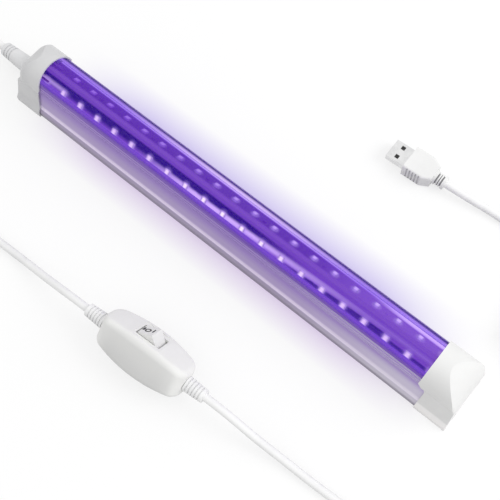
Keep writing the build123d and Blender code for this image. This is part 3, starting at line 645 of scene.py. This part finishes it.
@dataclass(frozen=True)
class Extrusion(Finish):
    """Satin aluminium: die lines, painted violet light near the cover, painted highlights and shade down the
    outer walls, painted light on the walls inside the trough.

    A ramp runs up the walls, or along the lamp where its name ends in end; die_contrast is for the lines.
    """

    # Painted light and shade on the outer walls: rim, upper and lower are violet light, shoulder a highlight on
    # the ledge, foot shade and edge a shadow line at the bottom.
    rim: Colour = (0.18, 0.08, 0.46)
    upper: Colour = (0.34, 0.22, 0.58)
    lower: Colour = (0.46, 0.365, 0.62)
    shoulder: Colour = (0.84, 0.74, 0.94)
    foot: Colour = (0.4, 0.345, 0.48)
    edge: Colour = (0.26, 0.235, 0.3)
    # bare is the plain metal, for the die lines and, as painted light, for the lands and the lamp's end.
    bare: Colour = (0.78, 0.77, 0.81)
    # inner is the trough's dark base; the light on it is painted as emission.
    inner: Colour = (0.02, 0.005, 0.1)
    metallic: float = 0.35
    die: Triple = (3.0, 1500.0, 1500.0)
    die_contrast: Ramp = (0.05, 0.3)
    die_share: float = 0.12
    rim_foot: Ramp = (28.2, 30.4)
    wall: Ramp = (19.0, 10.5)
    ledge_top: Ramp = (9.6, 7.2)
    ledge_foot: Ramp = (5.4, 6.3)
    foot_top: Ramp = (6.2, 5.2)
    edge_top: Ramp = (4.4, 3.0)
    edge_share: float = 0.9
    bare_top: Ramp = (20.0, 13.0)
    bare_end: Ramp = (45.0, 132.0)
    bare_share: float = 0.5
    land_pitch: float = 2.05
    land_start: float = 0.35
    land_half: float = 0.34
    land_foot: Ramp = (19.5, 21.0)
    land_top: Ramp = (30.2, 29.2)
    land_end: Ramp = (10.0, 112.0)
    land_share: float = 0.5

    def outside(self, along: Value, up: Value, lines: Value) -> Socket:
        """Colour of the outer walls, from the rim down to the foot, with painted violet light above, painted
        highlights on the ledge and the lands, painted shade on the foot and a painted shadow line along its
        edge.

        Args:
            along: place along the lamp.
            up: height.
            lines: die lines.

        Returns:
            The colour.
        """
        # painted violet light down the walls, darker near the rim
        shown = up.step(*self.wall).blend(self.upper, self.lower)
        shown = up.step(*self.rim_foot).blend(shown, self.rim)
        # painted highlight along the ledge
        shown = (up.step(*self.ledge_top) * up.step(*self.ledge_foot)).blend(shown, self.shoulder)
        # painted shade on the foot
        shown = up.step(*self.foot_top).blend(shown, self.foot)
        # painted light: paler, plainer metal towards the lamp's end
        bare = along.step(*self.bare_end) * up.step(*self.bare_top) * self.bare_share
        # painted shadow along the bottom edge
        shown = (up.step(*self.edge_top) * self.edge_share).blend(bare.blend(shown, self.bare), self.edge)
        # painted highlights on the lands between the grooves, stronger towards the lamp's end
        land = up.turns(self.land_pitch, self.land_start).bump_at(0.5, self.land_half)
        land = land * up.step(*self.land_foot) * up.step(*self.land_top)
        drawn = abs(lines - 0.5).step(*self.die_contrast) * self.die_share
        return drawn.most(land * along.step(*self.land_end) * self.land_share).blend(shown, self.bare)

    def paint(self, bench: Bench) -> Coats:
        """Mix the metal and its light.

        Args:
            bench: the material's tree.

        Returns:
            What the shader's sockets get.
        """
        along, across, up = bench.place()
        lines = bench.noise(self.die)
        inside = SECTION.in_trough(across, up)
        return {
            "Base Color": inside.blend(self.outside(along, up, lines), self.inner),
            "Emission Color": inside.blend(BLACK, SHINE.inside(along, across)),
            "Metallic": self.metallic * (1.0 - inside),
            "Roughness": self.worn(lines, reach=0.25),
            "Normal": bench.bump(lines, strength=0.12),
        }


@dataclass(frozen=True)
class Tinted(Finish):
    """Violet tinted clear cover: glossy, a little cloudy, denser along its edges."""

    colour: Colour = (0.045, 0.003, 0.42)
    edge: Colour = (0.1, 0.05, 0.3)
    edge_top: Ramp = (0.5, 0.0)
    body: float = 0.32
    edge_body: float = 0.3
    flow: Triple = (5.0, 160.0, 160.0)
    gloss: float = 0.25
    gloss_tint: Colour = (0.7, 0.5, 1.0)
    skin: Ramp = (-0.6, -0.2)
    rear_middle: Colour = (1.7, 1.3, 1.8)
    rear_end: Colour = (0.75, 0.44, 1.4)
    rear_length: float = 100.0
    rear_side: Ramp = (0.0, 1.0)
    rear_top: Ramp = (35.6, 34.6)
    rear_foot: Ramp = (32.4, 34.2)
    front: Colour = (0.12, 0.05, 0.3)
    front_side: Ramp = (0.0, -1.0)
    front_top: Ramp = (34.2, 33.4)

    def paint(self, bench: Bench) -> Coats:
        """Mix the plastic and the light in it.

        Args:
            bench: the material's tree.

        Returns:
            What the shader's sockets get.
        """
        along, across, up = bench.place()
        flow = bench.noise(self.flow)
        low = (up - SECTION.rim).step(*self.edge_top)
        return {
            "Base Color": low.blend(self.colour, self.edge),
            "Alpha": self.body + low * self.edge_body + (flow - 0.5) * 0.1,
            "Roughness": self.worn(flow, reach=0.08),
            "Emission Color": self.edge_light(along, across, up),
            "Specular IOR Level": self.gloss,
            "Specular Tint": self.gloss_tint,
        }

    def edge_light(self, along: Value, across: Value, up: Value) -> Socket:
        """Painted light along the cover's sides: a bright rear edge and a faint front one.

        Args:
            along: place along the lamp.
            across: place across the lamp.
            up: height.

        Returns:
            The light's colour.
        """
        skin = (SECTION.radius(across, up) - SECTION.tube).step(*self.skin)
        rear = up.step(*self.rear_top) * up.step(*self.rear_foot) * across.step(*self.rear_side) * skin
        front = up.step(*self.front_top) * across.step(*self.front_side)
        level = along.bump_at(0.0, self.rear_length).blend(self.rear_end, self.rear_middle)
        return rear.blend(front.blend(BLACK, self.front), level)


@dataclass(frozen=True)
class Strip(Finish):
    """Coated circuit board under violet light, brighter round its LEDs."""

    base: Colour = (0.02, 0.005, 0.1)
    coat: Colour = (0.05, 0.02, 0.16)
    weave: float = 900.0
    contrast: Ramp = (0.3, 0.7)
    halo: Colour = (0.75, 0.5, 1.1)
    halo_edge: Ramp = (3.6, 1.0)
    halo_fade: Ramp = (20.0, -110.0)
    halo_share: float = 0.5

    def paint(self, bench: Bench) -> Coats:
        """Mix the coating and its light.

        Args:
            bench: the material's tree.

        Returns:
            What the shader's sockets get.
        """
        along, across, _ = bench.place()
        weave = bench.noise((self.weave,) * 3, detail=2.0)
        near = SECTION.from_led(along)
        off = SECTION.fall(across) - SECTION.on_board(SECTION.led_offset)
        halo = (near * near + off * off).root().step(*self.halo_edge)
        faded = SECTION.behind(across) * along.step(*self.halo_fade)
        share = halo * (1.0 - faded) * self.halo_share
        return {
            "Base Color": weave.step(*self.contrast).blend(self.base, self.coat),
            "Emission Color": share.blend(SHINE.inside(along, across), self.halo),
            "Normal": bench.bump(weave, strength=0.1),
        }


@dataclass(frozen=True)
class Glow(Finish):
    """A lit surface whose middle is brighter than its rim, and that may flare or fade along the lamp."""

    core: Colour = (1.0, 0.8, 1.2)
    faint: Colour | None = None
    flare: Colour | None = None
    lens: Colour = (0.1, 0.05, 0.2)
    rim_share: float = 0.6
    rim_edge: Ramp = (0.3, 1.5)
    fade: Ramp = (100.0, -110.0)
    flare_place: Pair = (5.0, 75.0)

    def paint(self, bench: Bench) -> Coats:
        """Mix the light.

        Args:
            bench: the material's tree.

        Returns:
            What the shader's sockets get.
        """
        along, _, _ = bench.place()
        core = along.bump_at(*self.flare_place).blend(self.core, self.flare) if self.flare else self.core
        rim = tuple(part * self.rim_share for part in self.core)
        light = SECTION.from_led(along).step(*self.rim_edge).blend(core, rim)
        if self.faint:
            light = along.step(*self.fade).blend(light, self.faint)
        return {"Base Color": self.lens, "Emission Color": light}


@dataclass(frozen=True)
class Studio:
    """Floor, light and camera of the picture, in metres; the glow's ramps are in millimetres."""

    camera_place: Triple = (0.1293, -0.1101, 0.4057)
    camera_right: Triple = (0.7663, 0.6407, -0.0467)
    camera_up: Triple = (-0.5876, 0.7285, 0.3521)
    camera_near: float = 0.01
    lens: float = 56.5
    sensor: float = 36.0
    box_place: Triple = (0.82, 0.51, 0.72)
    box_side: float = 0.7
    box_power: float = 5.6
    fill: float = 0.87
    floor_half: float = 6.0
    floor_white: float = 0.96
    floor_bounce: float = 0.5
    shadow: float = 0.3
    # painted violet glow and shade on the floor beside the lamp
    glow_front: Colour = (0.76, 0.63, 0.88)
    glow_rear: Colour = (0.47, 0.375, 0.84)
    glow_length: Ramp = (152.0, 78.0)
    front_reach: Ramp = (-33.0, -17.0)
    rear_reach: Ramp = (39.0, 17.5)
    seam: float = 5.0

    def build(self) -> None:
        """Make the camera, the light and the floor."""
        self.set_camera()
        self.set_world()
        self.hang_light()
        self.lay_floor()
        bpy.context.scene.view_settings.view_transform = "Standard"

    def set_camera(self) -> None:
        """Place the camera where the picture was taken from."""
        right = Vector(self.camera_right).normalized()
        back = right.cross(Vector(self.camera_up)).normalized()
        turn = Matrix((right, back.cross(right), back)).transposed().to_4x4()
        data = bpy.data.cameras.new("camera")
        data.lens = self.lens
        data.sensor_width = self.sensor
        data.clip_start = self.camera_near
        piece = add_object("camera", data)
        piece.matrix_world = Matrix.Translation(self.camera_place) @ turn
        bpy.context.scene.camera = piece

    @staticmethod
    def seen(bench: Bench) -> Value:
        """Tell rays that show a surface to the camera, directly or in gloss or glass.

        Args:
            bench: the tree.

        Returns:
            1 for such rays, 0 for others.
        """
        path = bench.node("ShaderNodeLightPath").outputs
        shown = Value(bench, path["Is Camera Ray"])
        for name in ("Is Glossy Ray", "Is Transmission Ray"):
            shown = shown.most(Value(bench, path[name]))
        return shown

    def set_world(self) -> None:
        """Even white surroundings."""
        world = bpy.data.worlds.new("studio")
        world.use_nodes = True
        bpy.context.scene.world = world
        bench = Bench(world.node_tree)
        world.node_tree.nodes.clear()
        fill = bench.out("ShaderNodeBackground", {"Color": WHITE, "Strength": self.fill})
        white = bench.out("ShaderNodeBackground", {"Color": WHITE, "Strength": 1.0})
        mix = bench.out("ShaderNodeMixShader", {0: self.seen(bench), 1: fill, 2: white})
        bench.node("ShaderNodeOutputWorld", None, {0: mix})

    def hang_light(self) -> None:
        """Hang a soft box that isn't seen itself and faces the lamp's middle."""
        data = bpy.data.lights.new("soft_box", "AREA")
        data.shape = "RECTANGLE"
        data.size = data.size_y = self.box_side
        data.energy = self.box_power
        piece = add_object("soft_box", data)
        piece.location = self.box_place
        piece.rotation_euler = (-Vector(self.box_place)).to_track_quat("-Z", "Y").to_euler()
        piece.visible_camera = False
        piece.visible_glossy = False

    def lay_floor(self) -> None:
        """White floor that keeps a soft shadow."""
        half = self.floor_half
        corners = [(-half, -half, 0), (half, -half, 0), (half, half, 0), (-half, half, 0)]
        mesh = bpy.data.meshes.new("floor")
        mesh.from_pydata(corners, [], [(0, 1, 2, 3)])
        piece = add_object("floor", mesh)
        made = bpy.data.materials.new("floor_white")
        made.use_nodes = True
        bench = Bench(made.node_tree)
        made.node_tree.nodes.clear()
        matt = bench.out("ShaderNodeBsdfDiffuse", {"Color": (self.floor_white,) * 3})
        dull = bench.out("ShaderNodeBsdfDiffuse", {"Color": (self.floor_bounce,) * 3})
        glow = {"Color": self.lamp_glow(bench), "Strength": 1.0}
        white = bench.out("ShaderNodeEmission", glow)
        shown = bench.out("ShaderNodeMixShader", {0: 1.0 - self.shadow, 1: matt, 2: white})
        mix = bench.out("ShaderNodeMixShader", {0: self.seen(bench), 1: dull, 2: shown})
        bench.node("ShaderNodeOutputMaterial", None, {0: mix})
        mesh.materials.append(made)

    def lamp_glow(self, bench: Bench) -> Socket:
        """Colour of the floor: white, with a painted violet glow and shade along both of the lamp's sides.

        Args:
            bench: the floor's tree.

        Returns:
            The colour.
        """
        along, across, _ = bench.place()
        length = abs(along).step(*self.glow_length)
        front = across.step(*self.front_reach, False) * across.step(self.seam, -self.seam) * length
        rear = across.step(*self.rear_reach, False) * across.step(-self.seam, self.seam) * length
        return rear.blend(front.blend(WHITE, self.glow_front), self.glow_rear)


class Workshop:
    """Materials made so far, and the ways to finish a piece."""

    def __init__(self) -> None:
        """Start with no materials."""
        self.made: dict[str, Material] = {}

    def material(self, finish: Finish) -> Material:
        """Look up a finish's material, or make it.

        Args:
            finish: the surface.

        Returns:
            The material, made once.
        """
        if finish.name not in self.made:
            self.made[finish.name] = finish.material()
        return self.made[finish.name]

    def dress(self, finish: Finish, *nodes: str) -> None:
        """Give CAD nodes a finish.

        Args:
            finish: the surface.
            nodes: names of the nodes.
        """
        for name in nodes:
            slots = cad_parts[name].data.materials
            slots.clear()
            slots.append(self.material(finish))
            LOG.info("%s: %s", name, finish.name)

    def hand_over(self, piece: Piece, body: Body, slot: str) -> Piece:
        """Put a new piece on its body.

        Args:
            piece: the piece, at the origin.
            body: the body that it moves with.
            slot: the record's material slot; not used.

        Returns:
            The piece.
        """
        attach(piece, body.value)
        LOG.info("%s rides on %s", piece.name, body.value)
        return piece


@dataclass(frozen=True)
class Row:
    """Blocks with soft corners in a straight row, made by a node tree."""

    name: str
    count: int
    pitch: float
    size: Triple
    place: Triple
    tilt: float = 0.0
    corner: float = 0.2
    corner_steps: int = 2

    def tree(self, material: Material) -> bpy.types.NodeTree:
        """Build the row's node tree.

        Args:
            material: what its blocks are made of.

        Returns:
            The tree, with named inputs for its sizes.
        """
        tree = bpy.data.node_groups.new(self.name, "GeometryNodeTree")
        tree.interface.new_socket("Geometry", in_out="OUTPUT", socket_type="NodeSocketGeometry")
        for label, kind in (
            ("Count", "NodeSocketInt"),
            ("Pitch", "NodeSocketFloat"),
            ("Size", "NodeSocketVector"),
            ("Place", "NodeSocketVector"),
            ("Tilt", "NodeSocketVector"),
        ):
            tree.interface.new_socket(label, in_out="INPUT", socket_type=kind)
        bench = Bench(tree)
        given = bench.node("NodeGroupInput").outputs
        span = Value(bench, given["Pitch"])
        step = bench.out("ShaderNodeCombineXYZ", {"X": span})
        half = (Value(bench, given["Count"]) - 1.0) * span * -0.5
        start = bench.out("ShaderNodeCombineXYZ", {"X": half})
        sockets = {"Count": given["Count"], "Start Location": start, "Offset": step}
        line = bench.out("GeometryNodeMeshLine", sockets)
        block = bench.out("GeometryNodeMeshCube", {"Size": given["Size"]})
        copies = bench.out("GeometryNodeInstanceOnPoints", {"Points": line, "Instance": block})
        sockets = {"Geometry": copies, "Translation": given["Place"], "Rotation": given["Tilt"]}
        placed = bench.out("GeometryNodeTransform", sockets)
        real = bench.out("GeometryNodeRealizeInstances", {0: placed})
        done = bench.out("GeometryNodeSetMaterial", {"Geometry": real, "Material": material})
        bench.node("NodeGroupOutput", None, {0: done})
        return tree

    def build(self, material: Material) -> Piece:
        """Make the row as a plain mesh.

        Args:
            material: what its blocks are made of.

        Returns:
            The piece, at the origin.
        """
        tree = self.tree(material)
        seed = add_object(self.name + "_seed", bpy.data.meshes.new(self.name + "_seed"))
        modifier = seed.modifiers.new("row", "NODES")
        modifier.node_group = tree
        wanted = {
            "Count": self.count,
            "Pitch": self.pitch * MM,
            "Size": [part * MM for part in self.size],
            "Place": [part * MM for part in self.place],
            "Tilt": (self.tilt, 0.0, 0.0),
        }
        for item in tree.interface.items_tree:
            if item.in_out == "INPUT":
                modifier[item.identifier] = wanted[item.name]
        mesh = self.plain_mesh(seed)
        bpy.data.objects.remove(seed)
        piece = add_object(self.name, mesh)
        self.soften(piece)
        return piece

    @staticmethod
    def plain_mesh(piece: Piece) -> bpy.types.Mesh:
        """Mesh of a piece with its modifiers applied."""
        shown = piece.evaluated_get(bpy.context.evaluated_depsgraph_get())
        return bpy.data.meshes.new_from_object(shown)

    def soften(self, piece: Piece) -> None:
        """Round the blocks' edges with a bevel.

        Args:
            piece: the row.
        """
        bevel = piece.modifiers.new("soft_edges", "BEVEL")
        bevel.width = self.corner * MM
        bevel.segments = self.corner_steps
        mesh = self.plain_mesh(piece)
        piece.modifiers.clear()
        piece.data = mesh


@dataclass
class Lamp:
    """The tube: channel, cover, LED strips and the caps on its ends."""

    shop: Workshop
    led_count: int = 19
    window: Triple = (2.6, 2.1, 0.16)
    window_corner: float = 0.07

    def build(self) -> None:
        """Dress the lamp and add what the LEDs show."""
        shop = self.shop
        shop.dress(Extrusion("satin_aluminium", 0.42), "aluminium_channel")
        shop.dress(Tinted("violet_cover", 0.12), "clear_cover")
        # The cap's foot colour is paler: painted light.
        white = Moulded("cap_plastic", 0.42, (0.8, 0.8, 0.795), (0.77, 0.77, 0.765), foot=(0.93, 0.915, 0.91))
        shop.dress(white, "end_cap_plain")
        # Painted shade: the cord end's cap is a greyer copy of the caps' white plastic.
        shaded_cap = Moulded("cord_cap_painted_shade", 0.42, (0.67, 0.67, 0.675), (0.62, 0.62, 0.63))
        shop.dress(shaded_cap, "end_cap_cord")
        shop.dress(Metal("screw_steel", 0.35), "end_cap_screws")
        self.dress_strips()
        for side in Side:
            self.add_windows(side)

    def dress_strips(self) -> None:
        """Finish the boards and what is soldered on them."""
        shop = self.shop
        shop.dress(Strip("lit_strip", 0.4), "led_board_front", "led_board_rear", "led_resistors")
        shop.dress(Glow("front_package", 0.3, (1.0, 0.7, 1.3)), "led_chips_front")
        shop.dress(Glow("rear_package", 0.3, (0.72, 0.45, 1.12), (0.3, 0.11, 0.68)), "led_chips_rear")
        # Painted violet light: the red wire's colours lean violet, and the black one glows violet.
        shop.dress(Moulded("red_core", 0.4, (0.3, 0.05, 0.2), (0.24, 0.04, 0.18)), "lead_wire_red")
        dark_finish = Moulded("black_core", 0.4, (0.03, 0.02, 0.06), (0.05, 0.03, 0.09), lit=(0.22, 0.075, 0.5))
        shop.dress(dark_finish, "lead_wire_black", "jumper_wires")

    def add_windows(self, side: Side) -> None:
        """Put the shining window on each LED of one strip.

        Args:
            side: the slope that the strip is on.
        """
        level = SECTION.board + SECTION.package + self.window[2] / 2
        lean = SECTION.slope
        across = side.value * (SECTION.led_offset * math.cos(lean) + level * math.sin(lean))
        up = SECTION.ridge - SECTION.led_offset * math.sin(lean) + level * math.cos(lean)
        name = f"led_windows_{side.name.lower()}"
        middle, tilt = (0.0, across, up), -side.value * lean
        row = Row(name, self.led_count, SECTION.led_pitch, self.window, middle, tilt, self.window_corner)
        if side is Side.FRONT:
            finish = Glow(name, 0.2, (1.5, 1.12, 1.5), flare=(2.0, 1.75, 1.7))
        else:
            finish = Glow(name, 0.2, (1.15, 0.8, 1.5), (0.5, 0.25, 0.92))
        self.shop.hand_over(row.build(self.shop.material(finish)), Body.LAMP, "led_package")


@dataclass
class Lead:
    """The white lead: lamp to switch, and switch by way of the coil to the plug."""

    shop: Workshop
    diameter: float = 4.4
    level: float = 2.3
    lift: float = 1.35
    switch_reach: float = 38.6
    plug_reach: float = 36.2
    straight: float = 12.0
    lamp_exit: Triple = (-180.7, 0.0, 8.5)
    coil_centre: Pair = (178.0, 60.0)
    turn_radii: tuple[float, ...] = (28.6, 24.2, 19.8, 22.0, 26.4, 24.2)
    turn_layers: tuple[int, ...] = (0, 0, 0, 1, 1, 2)
    steps: int = 16
    drift: float = 0.72
    jacket: Jacket = Jacket("cord_jacket", 0.42)

    @property
    def rise(self) -> float:
        """Height from one layer of the coil to the next, whose turns lie in the grooves below."""
        return self.diameter * math.sqrt(3) / 2

    def lamp_route(self) -> list[Triple]:
        """Lay the lead from the lamp's strain relief round to the switch.

        Returns:
            Control points, in millimetres.
        """
        floor = self.level
        return [
            self.lamp_exit,
            (-194.0, 0.0, 8.5),
            (-213.0, -5.0, 4.4),
            (-227.0, -19.0, floor),
            (-233.0, -40.0, floor),
            (-229.0, -62.0, floor),
            (-214.0, -79.0, floor),
            (-191.0, -88.0, floor),
            (-161.0, -91.5, floor),
            (-125.0, -91.6, floor),
            (-95.0, -90.0, floor),
            (-76.0, -89.1, 3.4),
            (-57.0, -88.8, 8.0),
            SWITCH_LAY.point(-self.switch_reach - self.straight),
            SWITCH_LAY.point(-self.switch_reach),
        ]

    def supply_route(self) -> list[Triple]:
        """Lay the lead from the switch to the coil, round it, and on to the plug.

        Returns:
            Control points, in millimetres.
        """
        floor = self.level
        lifted = self.lift + self.diameter / 2
        top = lifted + 2 * self.rise
        near = [
            SWITCH_LAY.point(self.switch_reach),
            SWITCH_LAY.point(self.switch_reach + self.straight),
            (85.0, -82.0, 8.0),
            (103.0, -80.9, 3.4),
            (122.0, -80.3, floor),
            (150.0, -78.2, floor),
            (178.0, -67.5, floor),
            (199.5, -46.0, floor),
            (211.0, -17.0, floor),
            (213.0, 13.0, floor),
            (208.5, 38.0, lifted),
        ]
        far = [
            (163.0, 85.6, top - 1.2),
            (146.0, 90.5, 5.2),
            (128.0, 95.2, floor),
            (108.0, 95.7, floor),
            PLUG_LAY.point(self.plug_reach + self.straight),
            PLUG_LAY.point(self.plug_reach),
        ]
        return near + self.coil_route(lifted) + far

    def coil_route(self, lifted: float) -> list[Triple]:
        """Turns of the coil, one radius after another.

        Args:
            lifted: height of the lowest turns' middle.

        Returns:
            Control points, the same number in each turn.
        """
        shrink = math.cos(math.pi / self.steps)
        last = len(self.turn_radii) - 1
        points = []
        for step in range(last * self.steps + self.steps // 4 + 1):
            turn, part = divmod(step / self.steps, 1.0)
            here = int(turn)
            after = min(here + 1, last)
            ease = max(0.0, (part - self.drift) / (1.0 - self.drift))
            ease = ease * ease * (3 - 2 * ease)
            radius = self.turn_radii[here] + (self.turn_radii[after] - self.turn_radii[here]) * ease
            layer = self.turn_layers[here] + (self.turn_layers[after] - self.turn_layers[here]) * ease
            angle = math.tau * part
            east = self.coil_centre[0] + radius / shrink * math.cos(angle)
            north = self.coil_centre[1] + radius / shrink * math.sin(angle)
            points.append((east, north, lifted + layer * self.rise))
        return points

    def curve(self, name: str, route: list[Triple]) -> Piece:
        """Round cord along a smooth line.

        Args:
            name: the piece's name.
            route: control points in millimetres.

        Returns:
            The piece.
        """
        data = bpy.data.curves.new(name, "CURVE")
        data.dimensions = "3D"
        spline = data.splines.new("NURBS")
        spline.points.add(len(route) - 1)
        for point, place in zip(spline.points, route):
            point.co = (*(part * MM for part in place), 1.0)
        spline.order_u = 3
        spline.use_endpoint_u = True
        spline.resolution_u = 8
        data.bevel_depth = self.diameter / 2 * MM
        data.bevel_resolution = 5
        data.use_fill_caps = True
        data.materials.append(self.shop.material(self.jacket))
        piece = add_object(name, data)
        return self.shop.hand_over(piece, Body.LAMP, "cord_white")

    def build(self) -> None:
        """Lay both lengths of the lead."""
        route = self.lamp_route()
        first = self.curve("lamp_lead", route)
        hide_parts("lamp_cord")
        tuple(part * MM for part in route[0])
        route = self.supply_route()
        second = self.curve("supply_lead", route)
        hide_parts("supply_cord_near", "supply_coil", "supply_cord_far")
        tuple(part * MM for part in route[0])
        self.shop.dress(Jacket("boot_rubber", 0.5), "switch_boot_lamp", "switch_boot_supply")
        self.shop.dress(Jacket("lamp_boot_rubber", 0.5, (0.77, 0.77, 0.78), (0.7, 0.7, 0.71)), "cord_boot")
        self.shop.dress(Moulded("tie_plastic", 0.5, (0.75, 0.75, 0.76), (0.66, 0.66, 0.68)), "coil_tie")


@dataclass
class Switch:
    """The in-line switch: its rocker carries printed off and on marks on the raised facet."""

    shop: Workshop
    pivot: Triple = (14.349, -78.817, 20.4)
    throw: float = math.radians(12.0)
    ridge: float = 5.9
    facet: float = math.radians(35.0)
    ink: float = 0.05
    ring_place: Pair = (-4.05, -0.3)
    ring_size: Pair = (1.75, 0.95)
    bar_place: Pair = (-1.5, 0.3)
    bar_size: Pair = (0.7, 3.4)
    dot_place: Pair = (-6.25, 0.4)
    dot_size: Pair = (1.3, 2.7)
    ring_steps: int = 32
    corner: float = 0.3
    corner_steps: int = 4

    def build(self) -> None:
        """Dress the switch and print its marks."""
        shop = self.shop
        shell = Leaning("switch_plastic", 0.45, (0.84, 0.84, 0.825), (0.81, 0.81, 0.795))
        shop.dress(shell, "switch_upper_shell", "switch_lower_shell")
        shop.dress(Moulded("rocker_plastic", 0.4, (0.8, 0.8, 0.79), (0.77, 0.77, 0.76)), "switch_rocker")
        shop.dress(Metal("switch_screw_steel", 0.35), "switch_screws")
        brass = Metal("contact_brass", 0.3, (0.8, 0.6, 0.28), (0.6, 0.42, 0.16))
        shop.dress(brass, "switch_contact_leaf", "switch_contact_fixed", "plug_contacts")
        self.print_marks()

    def facet_frame(self) -> Matrix:
        """Find the raised facet.

        Returns:
            The way from the facet, with X down it and Z out of it, to the scene in millimetres.
        """
        turn = Matrix.Rotation(SWITCH_LAY.yaw, 4, "Z") @ Matrix.Rotation(SWITCH_LAY.tip, 4, "X")
        turn = turn @ Matrix.Rotation(self.throw, 4, "Y")
        lean = Matrix.Rotation(-self.facet, 4, "Y")
        return Matrix.Translation(self.pivot) @ turn @ Matrix.Translation((0.0, 0.0, self.ridge)) @ lean

    def print_marks(self) -> None:
        """Ring, bar and block of dark ink, as thin as print, on the raised facet."""
        form = bmesh.new()
        self.add_ring(form)
        self.add_block(form, self.bar_place, self.bar_size)
        self.add_block(form, self.dot_place, self.dot_size)
        bmesh.ops.recalc_face_normals(form, faces=form.faces)
        form.transform(Matrix.Scale(MM, 4) @ self.facet_frame())
        mesh = bpy.data.meshes.new("rocker_marks")
        form.to_mesh(mesh)
        form.free()
        ink = Moulded("mark_ink", 0.6, (0.012, 0.012, 0.013), (0.03, 0.03, 0.032), 900.0)
        mesh.materials.append(self.shop.material(ink))
        piece = add_object("rocker_marks", mesh)
        self.shop.hand_over(piece, Body.ROCKER, "wire_black")

    def on_facet(self, place: Pair) -> Vector:
        """Spot on the facet from level distances off the ridge's middle."""
        return Vector((place[0] / math.cos(self.facet), place[1], 0.0))

    def add_ring(self, form: bmesh.types.BMesh) -> None:
        """Add the ring to the marks.

        Args:
            form: the marks so far.
        """
        middle = self.on_facet(self.ring_place)
        rings = []
        for radius, height in zip(self.ring_size * 2, (0.0, 0.0, self.ink, self.ink)):
            turn = [math.tau * step / self.ring_steps for step in range(self.ring_steps)]
            spots = [middle + Vector((radius * math.cos(t), radius * math.sin(t), height)) for t in turn]
            rings.append([form.verts.new(spot) for spot in spots])
        outer, inner, outer_top, inner_top = rings
        for low, high in ((outer, outer_top), (outer_top, inner_top), (inner_top, inner), (inner, outer)):
            for step in range(self.ring_steps):
                after = (step + 1) % self.ring_steps
                form.faces.new((low[step], low[after], high[after], high[step]))

    def add_block(self, form: bmesh.types.BMesh, place: Pair, size: Pair) -> None:
        """Add a rounded block to the marks.

        Args:
            form: the marks so far.
            place: the block's middle, from the ridge's middle.
            size: its sides along and across the facet.
        """
        middle = self.on_facet(place)
        corner = self.corner * min(size)
        outline = []
        for way_x, way_y, start in ((1, 1, 0.0), (-1, 1, 0.25), (-1, -1, 0.5), (1, -1, 0.75)):
            centre = Vector((way_x * (size[0] / 2 - corner), way_y * (size[1] / 2 - corner), 0.0))
            for part in range(self.corner_steps + 1):
                turn = math.tau * (start + part / self.corner_steps / 4)
                outline.append(middle + centre + corner * Vector((math.cos(turn), math.sin(turn), 0.0)))
        low = [form.verts.new(spot) for spot in outline]
        high = [form.verts.new(spot + Vector((0.0, 0.0, self.ink))) for spot in outline]
        form.faces.new(low)
        form.faces.new(high)
        for step, _ in enumerate(low):
            after = (step + 1) % len(low)
            form.faces.new((low[step], low[after], high[after], high[step]))


@dataclass
class Plug:
    """The flat plug on the lead's far end."""

    shop: Workshop

    def build(self) -> None:
        """Dress the plug."""
        shop = self.shop
        shop.dress(Grip("plug_plastic", 0.5, (0.84, 0.84, 0.835), (0.8, 0.8, 0.795)), "plug_body")
        steel = Metal("plug_steel", 0.3, (0.82, 0.82, 0.82), (0.73, 0.73, 0.735), (300.0, 300.0, 300.0))
        shop.dress(steel, "plug_shell")
        # Painted shade: the tongue is near black so that the shell's windows look dark.
        dark_finish = Moulded("tongue_painted_shade", 0.5, (0.008, 0.008, 0.008), (0.016, 0.016, 0.016))
        shop.dress(dark_finish, "plug_tongue")


def main() -> None:
    """Build the picture: camera and cords first, then each sub-assembly."""
    logging.basicConfig(level=logging.INFO, format="%(name)s %(message)s")
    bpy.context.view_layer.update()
    shop = Workshop()
    Studio().build()
    Lead(shop).build()
    Lamp(shop).build()
    Switch(shop).build()
    Plug(shop).build()


if __name__ == "__main__":
    main()
